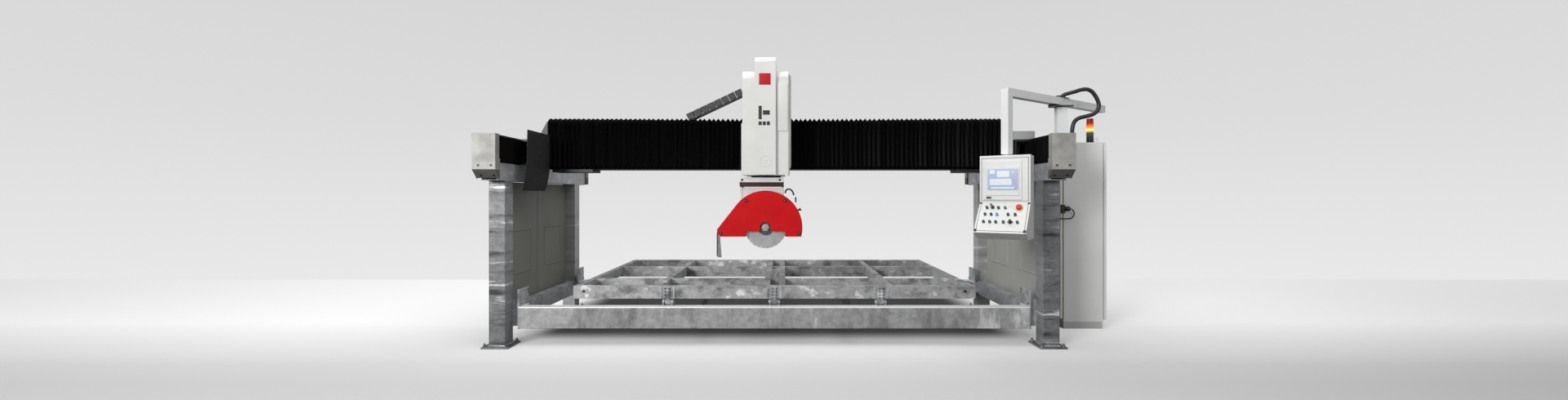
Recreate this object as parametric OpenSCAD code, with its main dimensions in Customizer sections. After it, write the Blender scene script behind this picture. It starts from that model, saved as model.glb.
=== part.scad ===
// Bridge slab saw with a tilting table, a turning and tilting cutting head, a console and a cabinet.
// Millimetres. X to the right, Y to the rear, Z up. The origin is on the floor, midway between the posts.

/* [Frame] */
// Half the distance between the post centres, left to right
post_x = 2547; // [2500:1:2600]
// Half the distance between the post centres, front to rear
post_y = 850; // [820:1:880]
// Width of a square post
post_w = 150; // [120:1:160]
// Height of a post's top face
post_top = 1536; // [1450:1:1560]
// Wall of the posts and beams
tube_wall = 8; // [5:0.5:12]
// Width of a floor plate
foot_w = 250; // [240:1:280]
// Thickness of a floor plate
foot_t = 15; // [10:1:25]
// Distance of an anchor hole from the post's centre, along X and Y
foot_hole_off = 100; // [95:1:110]
// Radius of an anchor hole
foot_hole_r = 9; // [7:0.5:12]

/* [Runways] */
// Height of a runway beam
runway_h = 161; // [150:1:180]
// Front end of a runway beam
runway_front = -1053; // [-1080:1:-1040]
// Rear end of a runway beam
runway_rear = 1131; // [1120:1:1180]
// Half the width of a runway bellows
runway_bellows_half = 99; // [95:1:104]
// Top of the runway bellows
runway_bellows_top = 1950; // [1930:1:1960]

/* [Lower frame] */
// Half the length of a crossbeam
crossbeam_half = 2370; // [2300:1:2400]
// Bottom of the crossbeams
crossbeam_z = 160; // [120:1:200]
// Height of a crossbeam
crossbeam_h = 200; // [160:1:210]
// Depth of a crossbeam
crossbeam_d = 110; // [90:1:120]
// Front face of the front crossbeam
crossbeam_y = -858; // [-870:1:-850]

/* [Bridge] */
// Half the length of the bridge
bridge_half = 2345; // [2330:1:2360]
// Front face of the bridge bellows
bridge_face = -306; // [-310:1:-300]
// Bottom of the bridge bellows
bridge_z0 = 1674; // [1660:1:1690]
// Top of the bridge bellows
bridge_z1 = 2166; // [2140:1:2190]
// Front face of the bridge beam
beam_y = -240; // [-250:1:-230]
// Rear face of the bridge beam
beam_rear = 25; // [15:1:40]

/* [Drive] */
// Gear module of the racks and pinions
gear_m = 8; // [8:1:8]
// Teeth on a drive pinion
pinion_teeth = 15; // [15:1:15]
// Distance along Y of the pinion axes
pinion_y = -420; // [-424:1:-416]

/* [Head] */
// Place of the head's turning axis along X
head_x = -88; // [-100:1:-80]
// Place of the head's turning axis along Y
head_y = -455; // [-460:1:-450]
// Width of the head cover
cover_w = 443; // [430:1:460]
// Front face of the head cover
cover_front = -690; // [-700:1:-680]
// Bottom of the head cover
cover_z0 = 1598; // [1595:1:1602]
// Top of the head cover
cover_z1 = 2613; // [2600:1:2630]
// Sheet thickness of the covers
cover_t = 3; // [2:0.5:4]
// Half the width of the square ram
ram_half = 80; // [70:1:90]
// Radius of the lift screw
screw_r = 16; // [12:1:18]
// Height of the tilt axis
tilt_z = 1200; // [1190:1:1210]
// Radius of a trunnion pin
trunnion_r = 30; // [25:1:35]

/* [Blade] */
// Radius of the blade
blade_r = 203; // [180:1:203]
// Thickness of the blade's core
blade_t = 4; // [3:0.5:6]
// Height of the spindle
spindle_z = 1091; // [1085:1:1095]
// Plane of the blade
blade_y = -645; // [-648:1:-642]
// Outer radius of the guard's arc
guard_r = 356; // [350:1:365]
// Depth of the guard
guard_d = 100; // [90:1:104]

/* [Table] */
// Half the length of the table
table_half = 1900; // [1850:1:1920]
// Top of the table
table_top = 545; // [530:1:560]
// Height of a table rail
rail_h = 120; // [110:1:130]
// Width of a table rail
rail_w = 60; // [50:1:70]
// Height of the table's pivot axis
pivot_z = 392; // [388:1:396]
// Place of the table's pivot axis along Y
pivot_y = -740; // [-742:1:-738]
// Radius of a table pivot pin
pivot_r = 15; // [12:1:16]

/* [Console] */
// Place of the mast along X
mast_x = 2790; // [2780:1:2800]
// Place of the mast along Y
mast_y = -617; // [-620:1:-614]
// Turn of the arm from the X axis, in degrees
arm_turn = 34.4; // [34:0.1:35]
// Side of the square arm
arm_w = 70; // [60:1:74]
// Turn of the console box, in degrees
console_turn = -33; // [-36:1:-30]
// Width of the console box
console_w = 417; // [400:1:430]
// Radius of a push button's cap
button_r = 13; // [9:0.5:14]

/* [Cabinet] */
// Left face of the cabinet
cabinet_x0 = 3030; // [3025:1:3035]
// Right face of the cabinet
cabinet_x1 = 3443; // [3430:1:3450]
// Front face of the cabinet
cabinet_y0 = -199; // [-210:1:-190]
// Rear face of the cabinet
cabinet_y1 = 801; // [780:1:820]
// Top of the cabinet
cabinet_top = 1958; // [1940:1:1970]
// Height of the plinth
plinth_h = 73; // [60:1:90]

/* [Hidden] */
runway_z0 = post_top;
runway_z1 = post_top + runway_h;
cap_wall = 4;
rack_pitch = PI * gear_m;
pinion_r = gear_m * pinion_teeth / 2;
panel_top = post_top - 4;
rack_x = post_x + 52;
rack_w = 28;
rack_base = 20;
rack_line = runway_z1 + rack_base + 1.25 * gear_m;
pinion_z = rack_line + pinion_r;
fit = 0.05;
trolley_front = -618;
trolley_rear = 25;
trolley_z0 = 1712;
trolley_z1 = 1949;
trolley_x0 = 2348;
trolley_wall = 8;
trolley_roof = 1925;
trolley_x1 = 2660;
cover_x0 = head_x - cover_w / 2;
cover_x1 = head_x + cover_w / 2;
fork_x = head_x - 38;
fork_half = 215;
fork_plate = 25;
guard_tip = 465;
guard_low = -87;
rail_ys = [-752, -291, 663, 1332];
member_xs = [-1870, -1100, -75, 75, 1100, 1870];
rail_z = table_top - rail_h;
clevis_xs = [-1010, 0, 1010];
cylinder_xs = [-720, 720];
hub_notch_r = 52;
step_half = 188;
base_y = -690;
base_z = 215;
lug_y = -200;
lug_z = 415;
stroke_turn = atan2(lug_z - base_z, lug_y - base_y);
cylinder_len = norm([lug_y - base_y, lug_z - base_z]);
arm_z = 2275;
drop_at = -887;
arm_end = 803;
drop_bottom = 1755;
fold_z = 1331;
fold_y = -100;
lip_y = -330;
lip_z = 1086;
console_base = 1025;
stop_r = 23;
panel_x = 2585;
panel_z0 = 300;
panel_len = norm([lip_y - fold_y, fold_z - lip_z]);
panel_tilt = atan2(fold_y - lip_y, fold_z - lip_z);
button_travel = 4;
door_gap = 3;
hinge_x = cabinet_x1 + 43.5;
hinge_y = cabinet_y1 + 6.5;
hinge_zs = [300, 1000, 1700];
handle_y = cabinet_y0 + 90;
handle_z = 990;
hose_r = 20;
hose_route = [
    [2815, -600, 2352], [2815, -600, 2370], [2830, -608, 2386], [2866, -622, 2396], [2914, -636, 2408],
    [2966, -646, 2424], [3021, -652, 2428], [3066, -655, 2408], [3102, -656, 2364], [3128, -657, 2310],
    [3136, -657, 2262], [3118, -657, 2217], [3074, -656, 2184], [3003, -655, 2164], [2944, -652, 2148],
    [2906, -647, 2116], [2890, -642, 2064], [2886, -638, 2000], [2886, -634, 1920], [2886, -631, 1810],
    [2886, -628, 1700]
];
lead_r = 6;
lead_route = [
    [3072, -229, 1262], [3086, -229, 1261], [3104, -229, 1253], [3118, -229, 1237], [3124, -229, 1214],
    [3120, -229, 1191], [3107, -229, 1172], [3088, -229, 1161], [3062, -229, 1158], [3034, -229, 1158],
    [3008, -229, 1158], [2990, -226, 1158], [2972, -215, 1158], [2960, -198, 1158], [2956, -176, 1158],
    [2958, -150, 1158], [2966, -126, 1158], [2976, -106, 1158], [2984, -88, 1158]
];
water_r = 8;
water_route = [
    [104, -604, 1424], [106, -608, 1440], [114, -615, 1454], [128, -622, 1462], [145, -627, 1462],
    [161, -628, 1453], [174, -628, 1438], [182, -628, 1420], [184, -628, 1402]
];

// A box from its lowest corner to its highest
module block(low, high) {
    translate(low) cube([high[0] - low[0], high[1] - low[1], high[2] - low[2]]);
}

// Children, and their mirror image across the machine's middle
module both_sides() {
    children();
    mirror([1, 0, 0]) children();
}

// A rod along X, from x0 to x1
module rod_x(x0, x1, y, z, r) {
    translate([x0, y, z]) rotate([0, 90, 0]) cylinder(r = r, h = x1 - x0, $fn = 48);
}

// A rod along Y, from y0 to y1
module rod_y(x, y0, y1, z, r) {
    translate([x, y0, z]) rotate([-90, 0, 0]) cylinder(r = r, h = y1 - y0, $fn = 48);
}

// A rod along Z, from z0 to z1
module rod_z(x, y, z0, z1, r) {
    translate([x, y, z0]) cylinder(r = r, h = z1 - z0, $fn = 48);
}

// A hexagon head along Y
module hex_y(x, y0, y1, z, r) {
    translate([x, y0, z]) rotate([-90, 0, 0]) cylinder(r = r, h = y1 - y0, $fn = 6);
}

// A hexagon head along X
module hex_x(x0, x1, y, z, r) {
    translate([x0, y, z]) rotate([0, 90, 0]) cylinder(r = r, h = x1 - x0, $fn = 6);
}

// A round tube swept along a route; the reference direction never lies along the route
function unit(v) = v / norm(v);
function heading(p, i) = unit(p[min(i + 1, len(p) - 1)] - p[max(i - 1, 0)]);
function ring(p, i, r, sides, ref) =
    let (t = heading(p, i), n = unit(cross(ref, t)), b = cross(t, n))
    [for (k = [0 : sides - 1]) p[i] + r * (cos(360 * k / sides) * n + sin(360 * k / sides) * b)];
function flat_list(v) = [for (a = v) for (b = a) b];

module swept_tube(p, r, ref, sides = 10) {
    rings = len(p);
    points = flat_list([for (i = [0 : rings - 1]) ring(p, i, r, sides, ref)]);
    walls = flat_list([for (i = [0 : rings - 2]) [for (k = [0 : sides - 1])
        [i * sides + k, (i + 1) * sides + k, (i + 1) * sides + (k + 1) % sides,
            i * sides + (k + 1) % sides]]]);
    first = [for (k = [0 : sides - 1]) k];
    last = [for (k = [sides - 1 : -1 : 0]) (rings - 1) * sides + k];
    polyhedron(points = points, faces = concat(walls, [first], [last]), convexity = 6);
}

// ---- Frame ----

module post(y) {
    difference() {
        union() {
            block([post_x - post_w / 2, y - post_w / 2, foot_t], [post_x + post_w / 2, y + post_w / 2,
                post_top]);
            block([post_x - foot_w / 2, y - foot_w / 2, 0], [post_x + foot_w / 2, y + foot_w / 2, foot_t]);
        }
        block([post_x - post_w / 2 + tube_wall, y - post_w / 2 + tube_wall, foot_t],
            [post_x + post_w / 2 - tube_wall, y + post_w / 2 - tube_wall, post_top + 1]);
        for (dx = [-1, 1], dy = [-1, 1])
            rod_z(post_x + dx * foot_hole_off, y + dy * foot_hole_off, -1, foot_t + 1, foot_hole_r);
    }
}

module posts() {
    color([0.66, 0.68, 0.69]) both_sides() {
        post(-post_y);
        post(post_y);
    }
}

module runway_beams() {
    half = post_w / 2;
    color([0.64, 0.66, 0.67]) both_sides() difference() {
        block([post_x - half, runway_front, runway_z0], [post_x + half, runway_rear, runway_z1]);
        block([post_x - half + tube_wall, runway_front - 1, runway_z0 + tube_wall],
            [post_x + half - tube_wall, runway_rear + 1, runway_z1 - tube_wall]);
    }
}

// One rack tooth, as an outline with its root on the X axis
module rack_tooth() {
    polygon([[-0.30 * rack_pitch, 0], [-0.11 * rack_pitch, 2.25 * gear_m],
        [0.11 * rack_pitch, 2.25 * gear_m], [0.30 * rack_pitch, 0]]);
}

module runway_racks() {
    teeth_before = floor((pinion_y - runway_front - 30) / rack_pitch);
    teeth_after = floor((runway_rear - 30 - pinion_y) / rack_pitch);
    color([0.45, 0.46, 0.48]) both_sides() {
        difference() {
            block([post_x - 42, runway_front + 20, runway_z1], [post_x + 3, runway_rear - 20,
                runway_z1 + 40]);
            for (side = [-1, 1])
                block([post_x - 19.5 + side * 22.5 - 5, runway_front + 19, runway_z1 + 14],
                    [post_x - 19.5 + side * 22.5 + 5, runway_rear - 19, runway_z1 + 26]);
        }
        translate([rack_x - rack_w / 2, 0, runway_z1]) rotate([90, 0, 90]) linear_extrude(rack_w) union() {
            translate([runway_front + 20, 0]) square([runway_rear - runway_front - 40, rack_base]);
            for (i = [-teeth_before : teeth_after])
                translate([pinion_y + i * rack_pitch, rack_base]) rack_tooth();
        }
    }
}

// A folded sheet cap over the end of a runway; its front face is at -Y and starts at the given height
module end_cap(low) {
    face = -1127;
    x0 = post_x - 90;
    x1 = post_x + 118;
    color([0.76, 0.76, 0.74]) difference() {
        translate([x0, 0, 0]) rotate([90, 0, 90]) linear_extrude(x1 - x0)
            polygon([[face, low], [face, 1953], [face + 84, 1953], [face + 84, 1544]]);
        translate([x0 + cap_wall, 0, 0]) rotate([90, 0, 90]) linear_extrude(x1 - x0 - 2 * cap_wall)
            polygon([[face + cap_wall, max(low + 2, 1549)], [face + cap_wall, 1953 - cap_wall],
                [face + 85, 1953 - cap_wall], [face + 85, 1549]]);
        block([x0 - 1, runway_front - 2, 1731], [x1 + 1, face + 90, 1960]);
        block([x0 + cap_wall, runway_front, runway_z0], [x1 - cap_wall, face + 90, 1735]);
    }
}

module cap_bolts() {
    face = -1127;
    for (dx = [-52, 62]) {
        hex_y(post_x + dx, face - 8, face, 1668, 9);
        translate([post_x + dx, face + 46, 1583]) rotate([44, 0, 0]) rod_y(0, -8, -0.5, 0, 8);
    }
}

module runway_end_caps() {
    both_sides() {
        end_cap(1631);
        translate([0, runway_front + runway_rear, 0]) mirror([0, 1, 0]) end_cap(1544);
    }
}

// An inverted channel of bellows over a runway
module runway_bellows(y0, y1) {
    color([0.05, 0.05, 0.055]) both_sides() difference() {
        block([post_x + 14 - runway_bellows_half, y0, runway_z1 + 2],
            [post_x + 14 + runway_bellows_half, y1, runway_bellows_top]);
        block([post_x + 14 - runway_bellows_half + 25, y0 - 1, runway_z1 - 1],
            [post_x + 14 + runway_bellows_half - 25, y1 + 1, runway_bellows_top - 25]);
    }
}

module runway_bellows_front() {
    runway_bellows(runway_front, trolley_front - 0.5);
}

module runway_bellows_rear() {
    runway_bellows(trolley_rear + 0.5, runway_rear);
}

module crossbeam(y) {
    color([0.62, 0.64, 0.66]) {
        difference() {
            block([-crossbeam_half, y, crossbeam_z], [crossbeam_half, y + crossbeam_d,
                crossbeam_z + crossbeam_h]);
            block([-crossbeam_half - 1, y + tube_wall, crossbeam_z + tube_wall],
                [crossbeam_half + 1, y + crossbeam_d - tube_wall, crossbeam_z + crossbeam_h - tube_wall]);
        }
        both_sides() block([crossbeam_half, y, crossbeam_z], [crossbeam_half + 15, y + crossbeam_d + 90,
            crossbeam_z + crossbeam_h]);
    }
}

module crossbeams() {
    crossbeam(crossbeam_y);
    mirror([0, 1, 0]) crossbeam(crossbeam_y);
}

module side_beams() {
    color([0.60, 0.62, 0.64]) both_sides() difference() {
        block([2440, -post_y + 125, 210], [2540, post_y - 125, 360]);
        block([2440 + tube_wall, -post_y + 124, 210 + tube_wall], [2540 - tube_wall, post_y - 124,
            360 - tube_wall]);
    }
}

// A plate that bolts a crossbeam and a side beam to a post
module bracket() {
    color([0.66, 0.68, 0.70]) difference() {
        block([2385, -838, 150], [2400, -636, 520]);
        rod_x(2380, 2405, -700, 480, 13);
    }
    color([0.66, 0.68, 0.70]) block([2400, -790, 170], [post_x - post_w / 2, -778, 420]);
    color([0.66, 0.68, 0.70]) block([2400, -720, 220], [2440, -640, 350]);
}

module beam_brackets() {
    both_sides() {
        bracket();
        mirror([0, 1, 0]) bracket();
    }
}

module frame_bolts() {
    color([0.55, 0.56, 0.58]) both_sides() {
        cap_bolts();
        for (dy = [-1, 1], z = [195, 325]) {
            hex_x(2363, 2370, dy * (post_y - 150), z, 16);
        }
    }
}

// A folded sheet panel with a pressed rectangular bead
module side_panel(y0, y1) {
    x0 = panel_x;
    mid = (y0 + y1) / 2;
    color([0.46, 0.46, 0.43]) union() {
        block([x0, y0, panel_z0], [x0 + 4, y1, panel_top]);
        for (y = [y0, y1 - 4]) block([x0, y, panel_z0], [x0 + 30, y + 4, panel_top]);
        for (z = [panel_z0, panel_top - 4]) block([x0, y0, z], [x0 + 30, y1, z + 4]);
        difference() {
            block([x0 - 4, mid - 230, 615], [x0, mid + 230, 1055]);
            block([x0 - 5, mid - 215, 630], [x0 + 0.01, mid + 215, 1040]);
        }
    }
}

module side_panels() {
    inner = post_y - post_w / 2 - 3;
    both_sides() {
        side_panel(-inner, -4);
        side_panel(4, inner);
    }
}

// The frame's half of the table hinge, with its pin
module table_pivots() {
    color([0.60, 0.61, 0.63]) for (x = clevis_xs) {
        for (dx = [-48, 36]) difference() {
            union() {
                block([x + dx, pivot_y - 40, crossbeam_z + crossbeam_h],
                    [x + dx + 12, pivot_y + 40, pivot_z]);
                rod_x(x + dx, x + dx + 12, pivot_y, pivot_z, 32);
                block([x + dx, crossbeam_y + crossbeam_d, 300], [x + dx + 12, pivot_y + 40, pivot_z]);
            }
            rod_x(x + dx - 1, x + dx + 13, pivot_y, pivot_z, pivot_r);
        }
        rod_x(x - 56, x + 56, pivot_y, pivot_z, pivot_r);
    }
    color([0.60, 0.61, 0.63]) for (x = cylinder_xs) {
        for (dx = [-62, 50]) block([x + dx, crossbeam_y + crossbeam_d, base_z - 45], [x + dx + 12,
            base_y + 35, base_z + 45]);
        rod_x(x - 50, x + 50, base_y, base_z, pivot_r);
    }
}

module console_mast() {
    color([0.80, 0.81, 0.80]) {
        block([mast_x - 50, mast_y - 30, 1560], [mast_x + 50, mast_y + 30, 2262]);
        block([post_x + post_w / 2, mast_y - 55, 1575], [mast_x - 50, mast_y + 55, 1680]);
    }
    color([0.60, 0.61, 0.62]) block([mast_x - 95, mast_y - 60, 2262], [mast_x + 95, mast_y + 60,
        arm_z - 2]);
    color([0.60, 0.61, 0.62]) rod_z(mast_x, mast_y, arm_z - 2, arm_z + arm_w - 1, 20);
}

module console_hose() {
    color([0.06, 0.06, 0.06]) swept_tube(hose_route, hose_r, [0, 1, 0]);
}

module cabinet_body() {
    wall = 20;
    color([0.78, 0.78, 0.76]) {
        block([cabinet_x0, cabinet_y0, plinth_h], [cabinet_x1, cabinet_y0 + wall, cabinet_top]);
        block([cabinet_x0, cabinet_y1 - wall, plinth_h], [cabinet_x1, cabinet_y1, cabinet_top]);
        block([cabinet_x0, cabinet_y0 + wall, plinth_h], [cabinet_x0 + wall, cabinet_y1 - wall,
            cabinet_top]);
        block([cabinet_x0 + wall, cabinet_y0 + wall, cabinet_top - wall],
            [cabinet_x1, cabinet_y1 - wall, cabinet_top]);
        block([cabinet_x0 + wall, cabinet_y0 + wall, plinth_h], [cabinet_x1, cabinet_y1 - wall,
            plinth_h + wall]);
        block([cabinet_x0 - 11, cabinet_y0 + 2, plinth_h + 40], [cabinet_x0, cabinet_y1 - 2,
            cabinet_top - 4]);
        block([cabinet_x0 - 33, cabinet_y0, plinth_h + 38], [cabinet_x0 - 11, cabinet_y1, cabinet_top - 2]);
    }
    color([0.6, 0.6, 0.58]) block([cabinet_x0, cabinet_y0 + 4, 0], [cabinet_x1 - 5, cabinet_y1 - 15,
        plinth_h]);
    color([0.7, 0.7, 0.7]) for (z = hinge_zs) {
        block([cabinet_x1 - 20, cabinet_y1, z - 50], [hinge_x + 5, cabinet_y1 + 13, z - 36]);
        rod_z(hinge_x, hinge_y, z - 50, z + 34, 5);
    }
    color([0.7, 0.7, 0.7]) rod_z(cabinet_x1 - 40, cabinet_y0 + 60, cabinet_top, cabinet_top + 14, 10);
    color([0.7, 0.7, 0.7]) translate([cabinet_x1 - 40, cabinet_y0 + 60, cabinet_top + 34]) rotate([90,
        0, 0])
        rotate_extrude($fn = 48) translate([18, 0]) circle(r = 5, $fn = 20);
}

// The plate and the electrical gear behind the door
module cabinet_components() {
    x0 = cabinet_x0 + 60;
    color([0.85, 0.55, 0.2]) block([x0, cabinet_y0 + 60, 160], [x0 + 4, cabinet_y1 - 60, 1880]);
    color([0.3, 0.3, 0.32]) {
        for (i = [0 : 3]) block([x0 + 4, cabinet_y0 + 120 + i * 190, 1250], [x0 + 190,
            cabinet_y0 + 270 + i * 190, 1640]);
        for (i = [0 : 7]) block([x0 + 4, cabinet_y0 + 110 + i * 95, 880], [x0 + 110,
            cabinet_y0 + 180 + i * 95, 1010]);
        for (z = [1100, 760]) block([x0 + 4, cabinet_y0 + 90, z], [x0 + 64, cabinet_y1 - 90, z + 50]);
        block([x0 + 4, cabinet_y0 + 150, 240], [x0 + 210, cabinet_y0 + 480, 560]);
    }
}

module signal_tower() {
    x = cabinet_x1 - 68;
    y = -75;
    base = 66;
    lens = 52;
    color([0.05, 0.05, 0.05]) rod_z(x, y, cabinet_top, cabinet_top + base, 35);
    tints = [[0.05, 0.35, 0.25], [1.0, 0.62, 0.05], [0.75, 0.08, 0.05]];
    for (i = [0 : 2])
        color(tints[i]) rod_z(x, y, cabinet_top + base + i * (lens + 2) + 2,
            cabinet_top + base + (i + 1) * (lens + 2), 35);
    color([0.1, 0.1, 0.1]) {
        rod_z(x, y, cabinet_top + base, cabinet_top + base + 3 * (lens + 2) + 2, 12);
        rod_z(x, y, cabinet_top + base + 3 * (lens + 2), cabinet_top + 266, 33);
    }
}

module cabinet_plug() {
    color([0.1, 0.1, 0.1]) {
        block([cabinet_x0 - 33, cabinet_y0 - 40, 1215], [cabinet_x0 - 5, cabinet_y0, 1305]);
        rod_x(cabinet_x0 - 5, 3072, -229, 1262, 26);
    }
}

module cabinet_lead() {
    color([0.05, 0.05, 0.05]) swept_tube(lead_route, lead_r, [0.3, 0.4, 1]);
}

// ---- Bridge ----

module bridge_beam() {
    end = bridge_half - 45;
    color([0.30, 0.31, 0.32]) {
        difference() {
            block([-end, beam_y, 1700], [end, beam_rear, 2140]);
            block([-end + 12, beam_y + 12, 1712], [end - 12, beam_rear - 12, 2128]);
        }
        both_sides() block([end, beam_y, 1700], [trolley_x0, beam_rear, 1940]);
    }
    color([0.05, 0.05, 0.05]) both_sides() {
        block([1880, bridge_face + 6, 1640], [2300, beam_y + 180, 1672]);
        translate([0, beam_y - 55, 0]) rotate([-90, 0, 0]) linear_extrude(310)
            polygon([[bridge_half + 3, -1955], [bridge_half + 3, -bridge_z1], [bridge_half + 10,
                -bridge_z1],
                [bridge_half + 72, -2054], [bridge_half + 72, -1955]]);
    }
}

// The casing over each runway, with its guide blocks on the rail
module bridge_trolleys() {
    color([0.06, 0.06, 0.065]) both_sides() {
        difference() {
            block([trolley_x0, trolley_front, trolley_z0], [trolley_x1, trolley_rear, trolley_z1]);
            block([trolley_x0 + trolley_wall, trolley_front - 1, trolley_z0 - 1],
                [trolley_x1 - trolley_wall, trolley_rear - trolley_wall, trolley_roof]);
            block([post_x - 60, trolley_rear - trolley_wall - 1, trolley_z0 - 1],
                [post_x + 80, trolley_rear + 1, runway_z1 + 45]);
        }
        for (y = [trolley_front + 18, trolley_rear - 160])
            difference() {
                block([post_x - 62, y, runway_z1 + 12], [post_x + 12, y + 100, trolley_roof]);
                block([post_x - 43, y - 1, runway_z1 - 1], [post_x + 4, y + 101, runway_z1 + 41]);
            }
    }
    color([0.55, 0.56, 0.56]) block([2449, -330, trolley_z1], [2668, -300, 2063]);
}

// Two guide rails and a rack along the front of the beam
module bridge_rails() {
    color([0.62, 0.63, 0.65]) for (z = [1760, 2050])
        block([-bridge_half + 60, beam_y - 22, z], [bridge_half - 60, beam_y, z + 34]);
    color([0.42, 0.43, 0.45]) block([-bridge_half + 60, beam_y - 14, 1900], [bridge_half - 60, beam_y,
        1930]);
}

// A channel of bellows over the front, top and bottom of the beam
module bridge_bellows(x0, x1) {
    color([0.04, 0.04, 0.045]) difference() {
        block([x0, bridge_face, bridge_z0], [x1, -20, bridge_z1]);
        block([x0 - 1, bridge_face + 25, bridge_z0 + 24], [x1 + 1, -19, bridge_z1 - 24]);
    }
}

module bridge_bellows_left() {
    bridge_bellows(-bridge_half, cover_x0 - 12);
}

module bridge_bellows_right() {
    bridge_bellows(cover_x1 + 12, bridge_half);
}

module rubber_flap() {
    color([0.12, 0.12, 0.12]) translate([0, -811, 0]) rotate([-90, 0, 0]) linear_extrude(504)
        polygon([[-2317, -2020], [-2317, -1700], [-2334, -1560], [-2372, -1443], [-2377, -1445],
            [-2340, -1561], [-2323, -1700], [-2323, -2020]]);
}

module travel_motors() {
    color([0.25, 0.26, 0.28]) both_sides() {
        block([2365, pinion_y - 50, 1740], [2450, pinion_y + 50, trolley_roof]);
        rod_y(2408, pinion_y + 50, pinion_y + 250, 1862, 42);
        rod_x(2450, rack_x - rack_w / 2 - 4, pinion_y, pinion_z, 14);
    }
}

function involute(rb, a) = [rb * (cos(a) + a * PI / 180 * sin(a)), rb * (sin(a) - a * PI / 180 * cos(a))];

// A spur pinion about the X axis, with a gap facing straight down
module pinion() {
    base_r = pinion_r * cos(20);
    tip_r = pinion_r + 0.9 * gear_m;
    root_r = pinion_r - 1.25 * gear_m;
    reach = sqrt(pow(tip_r / base_r, 2) - 1) * 180 / PI;
    line = sqrt(pow(pinion_r / base_r, 2) - 1) * 180 / PI;
    half = 0.20 * 360 / pinion_teeth + line - atan(line * PI / 180);
    flank = [for (i = [0 : 4]) involute(base_r, reach * i / 4)];
    color([0.5, 0.5, 0.52]) difference() {
        linear_extrude(rack_w) union() {
            circle(r = root_r, $fn = 64);
            for (k = [0 : pinion_teeth - 1]) rotate(k * 360 / pinion_teeth + 180 / pinion_teeth)
                polygon(concat([[root_r - 2, -5]],
                    [for (p = flank) [p[0] * cos(-half) - p[1] * sin(-half),
                        p[0] * sin(-half) + p[1] * cos(-half)]],
                    [for (i = [4 : -1 : 0]) let (p = flank[i])
                        [p[0] * cos(half) + p[1] * sin(half), p[0] * sin(half) - p[1] * cos(half)]],
                    [[root_r - 2, 5]]));
        }
        translate([0, 0, -1]) cylinder(r = 14 + fit, h = rack_w + 2, $fn = 48);
    }
}

module drive_pinion_right() {
    translate([rack_x - rack_w / 2, pinion_y, pinion_z]) rotate([0, 90, 0]) pinion();
    rod_x(rack_x - rack_w / 2 - 3, rack_x - rack_w / 2, pinion_y, pinion_z, 30);
}

module drive_pinion_left() {
    mirror([1, 0, 0]) drive_pinion_right();
}

// ---- Carriage ----

module carriage_plate() {
    color([0.35, 0.36, 0.38]) {
        block([cover_x0 + 6, bridge_face - 34, 1690], [cover_x1 - 6, bridge_face - 6, 2240]);
        for (z = [1755, 2045], x = [head_x - 170, head_x + 60])
            difference() {
                block([x, bridge_face - 6, z - 10], [x + 110, beam_y - 4, z + 54]);
                block([x - 1, beam_y - 24, z + 4], [x + 111, beam_y, z + 40]);
            }
        for (dx = [-1, 1])
            block([head_x + dx * 110 - 15, head_y + 84, 1700], [head_x + dx * 110 + 15,
                bridge_face - 34, 2300]);
        for (z = [1720, 2180]) difference() {
            block([head_x - 125, head_y - 105, z], [head_x + 125, head_y + 105, z + 60]);
            block([head_x - ram_half - fit, head_y - ram_half - fit, z - 1],
                [head_x + ram_half + fit, head_y + ram_half + fit, z + 61]);
        }
    }
}

// Side outline of a head cover: flat front, rounded over the top to the rear
module cover_side(front, rear, low, high, r) {
    union() {
        translate([front, low]) square([rear - front, high - low - r]);
        translate([front + r, low]) square([rear - front - r, high - low]);
        translate([front + r, high - r]) circle(r = r, $fn = 64);
    }
}

module head_cover() {
    rear = bridge_face - 40;
    color([0.88, 0.88, 0.85]) {
        difference() {
            translate([cover_x0, 0, 0]) rotate([90, 0, 90]) linear_extrude(cover_w)
                cover_side(cover_front, rear, cover_z0, cover_z1, 90);
            translate([cover_x0 + cover_t, 0, 0]) rotate([90, 0, 90]) linear_extrude(cover_w - 2 * cover_t)
                cover_side(cover_front + cover_t, rear + 1, cover_z0 - 1, cover_z1 - cover_t, 90 - cover_t);
        }
        translate([0, -320, 0]) rotate([90, 0, 0]) linear_extrude(280)
            polygon([[cover_x1, 1660], [cover_x1 + 26, 1680], [cover_x1 + 26, 2560], [cover_x1, 2600]]);
    }
    color([0.08, 0.08, 0.08]) difference() {
        block([cover_x0 + 30, cover_front + 40, cover_z0 - 6], [cover_x1 - 30, rear - 10, cover_z0]);
        block([head_x - ram_half - 6, head_y - ram_half - 6, cover_z0 - 7],
            [head_x + ram_half + 6, head_y + ram_half + 6, cover_z0 + 1]);
    }
}

module column_cover() {
    color([0.90, 0.90, 0.87]) difference() {
        translate([head_x - 100, 0, 0]) rotate([90, 0, 90]) linear_extrude(200)
            cover_side(-725, -300, cover_z0, 2735, 60);
        translate([head_x - 97, 0, 0]) rotate([90, 0, 90]) linear_extrude(194)
            cover_side(-722, -303, cover_z0 + 3, 2732, 57);
        block([head_x - 101, cover_front, cover_z0 - 1], [head_x + 101, -290, cover_z1]);
    }
}

module lift_motor() {
    color([0.2, 0.22, 0.25]) {
        block([head_x - 90, head_y - 75, 2420], [head_x + 90, head_y + 149, 2450]);
        block([head_x - 62, head_y - 62, 2450], [head_x + 62, head_y + 62, 2560]);
        rod_z(head_x, head_y, 2560, 2606, 50);
    }
}

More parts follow.
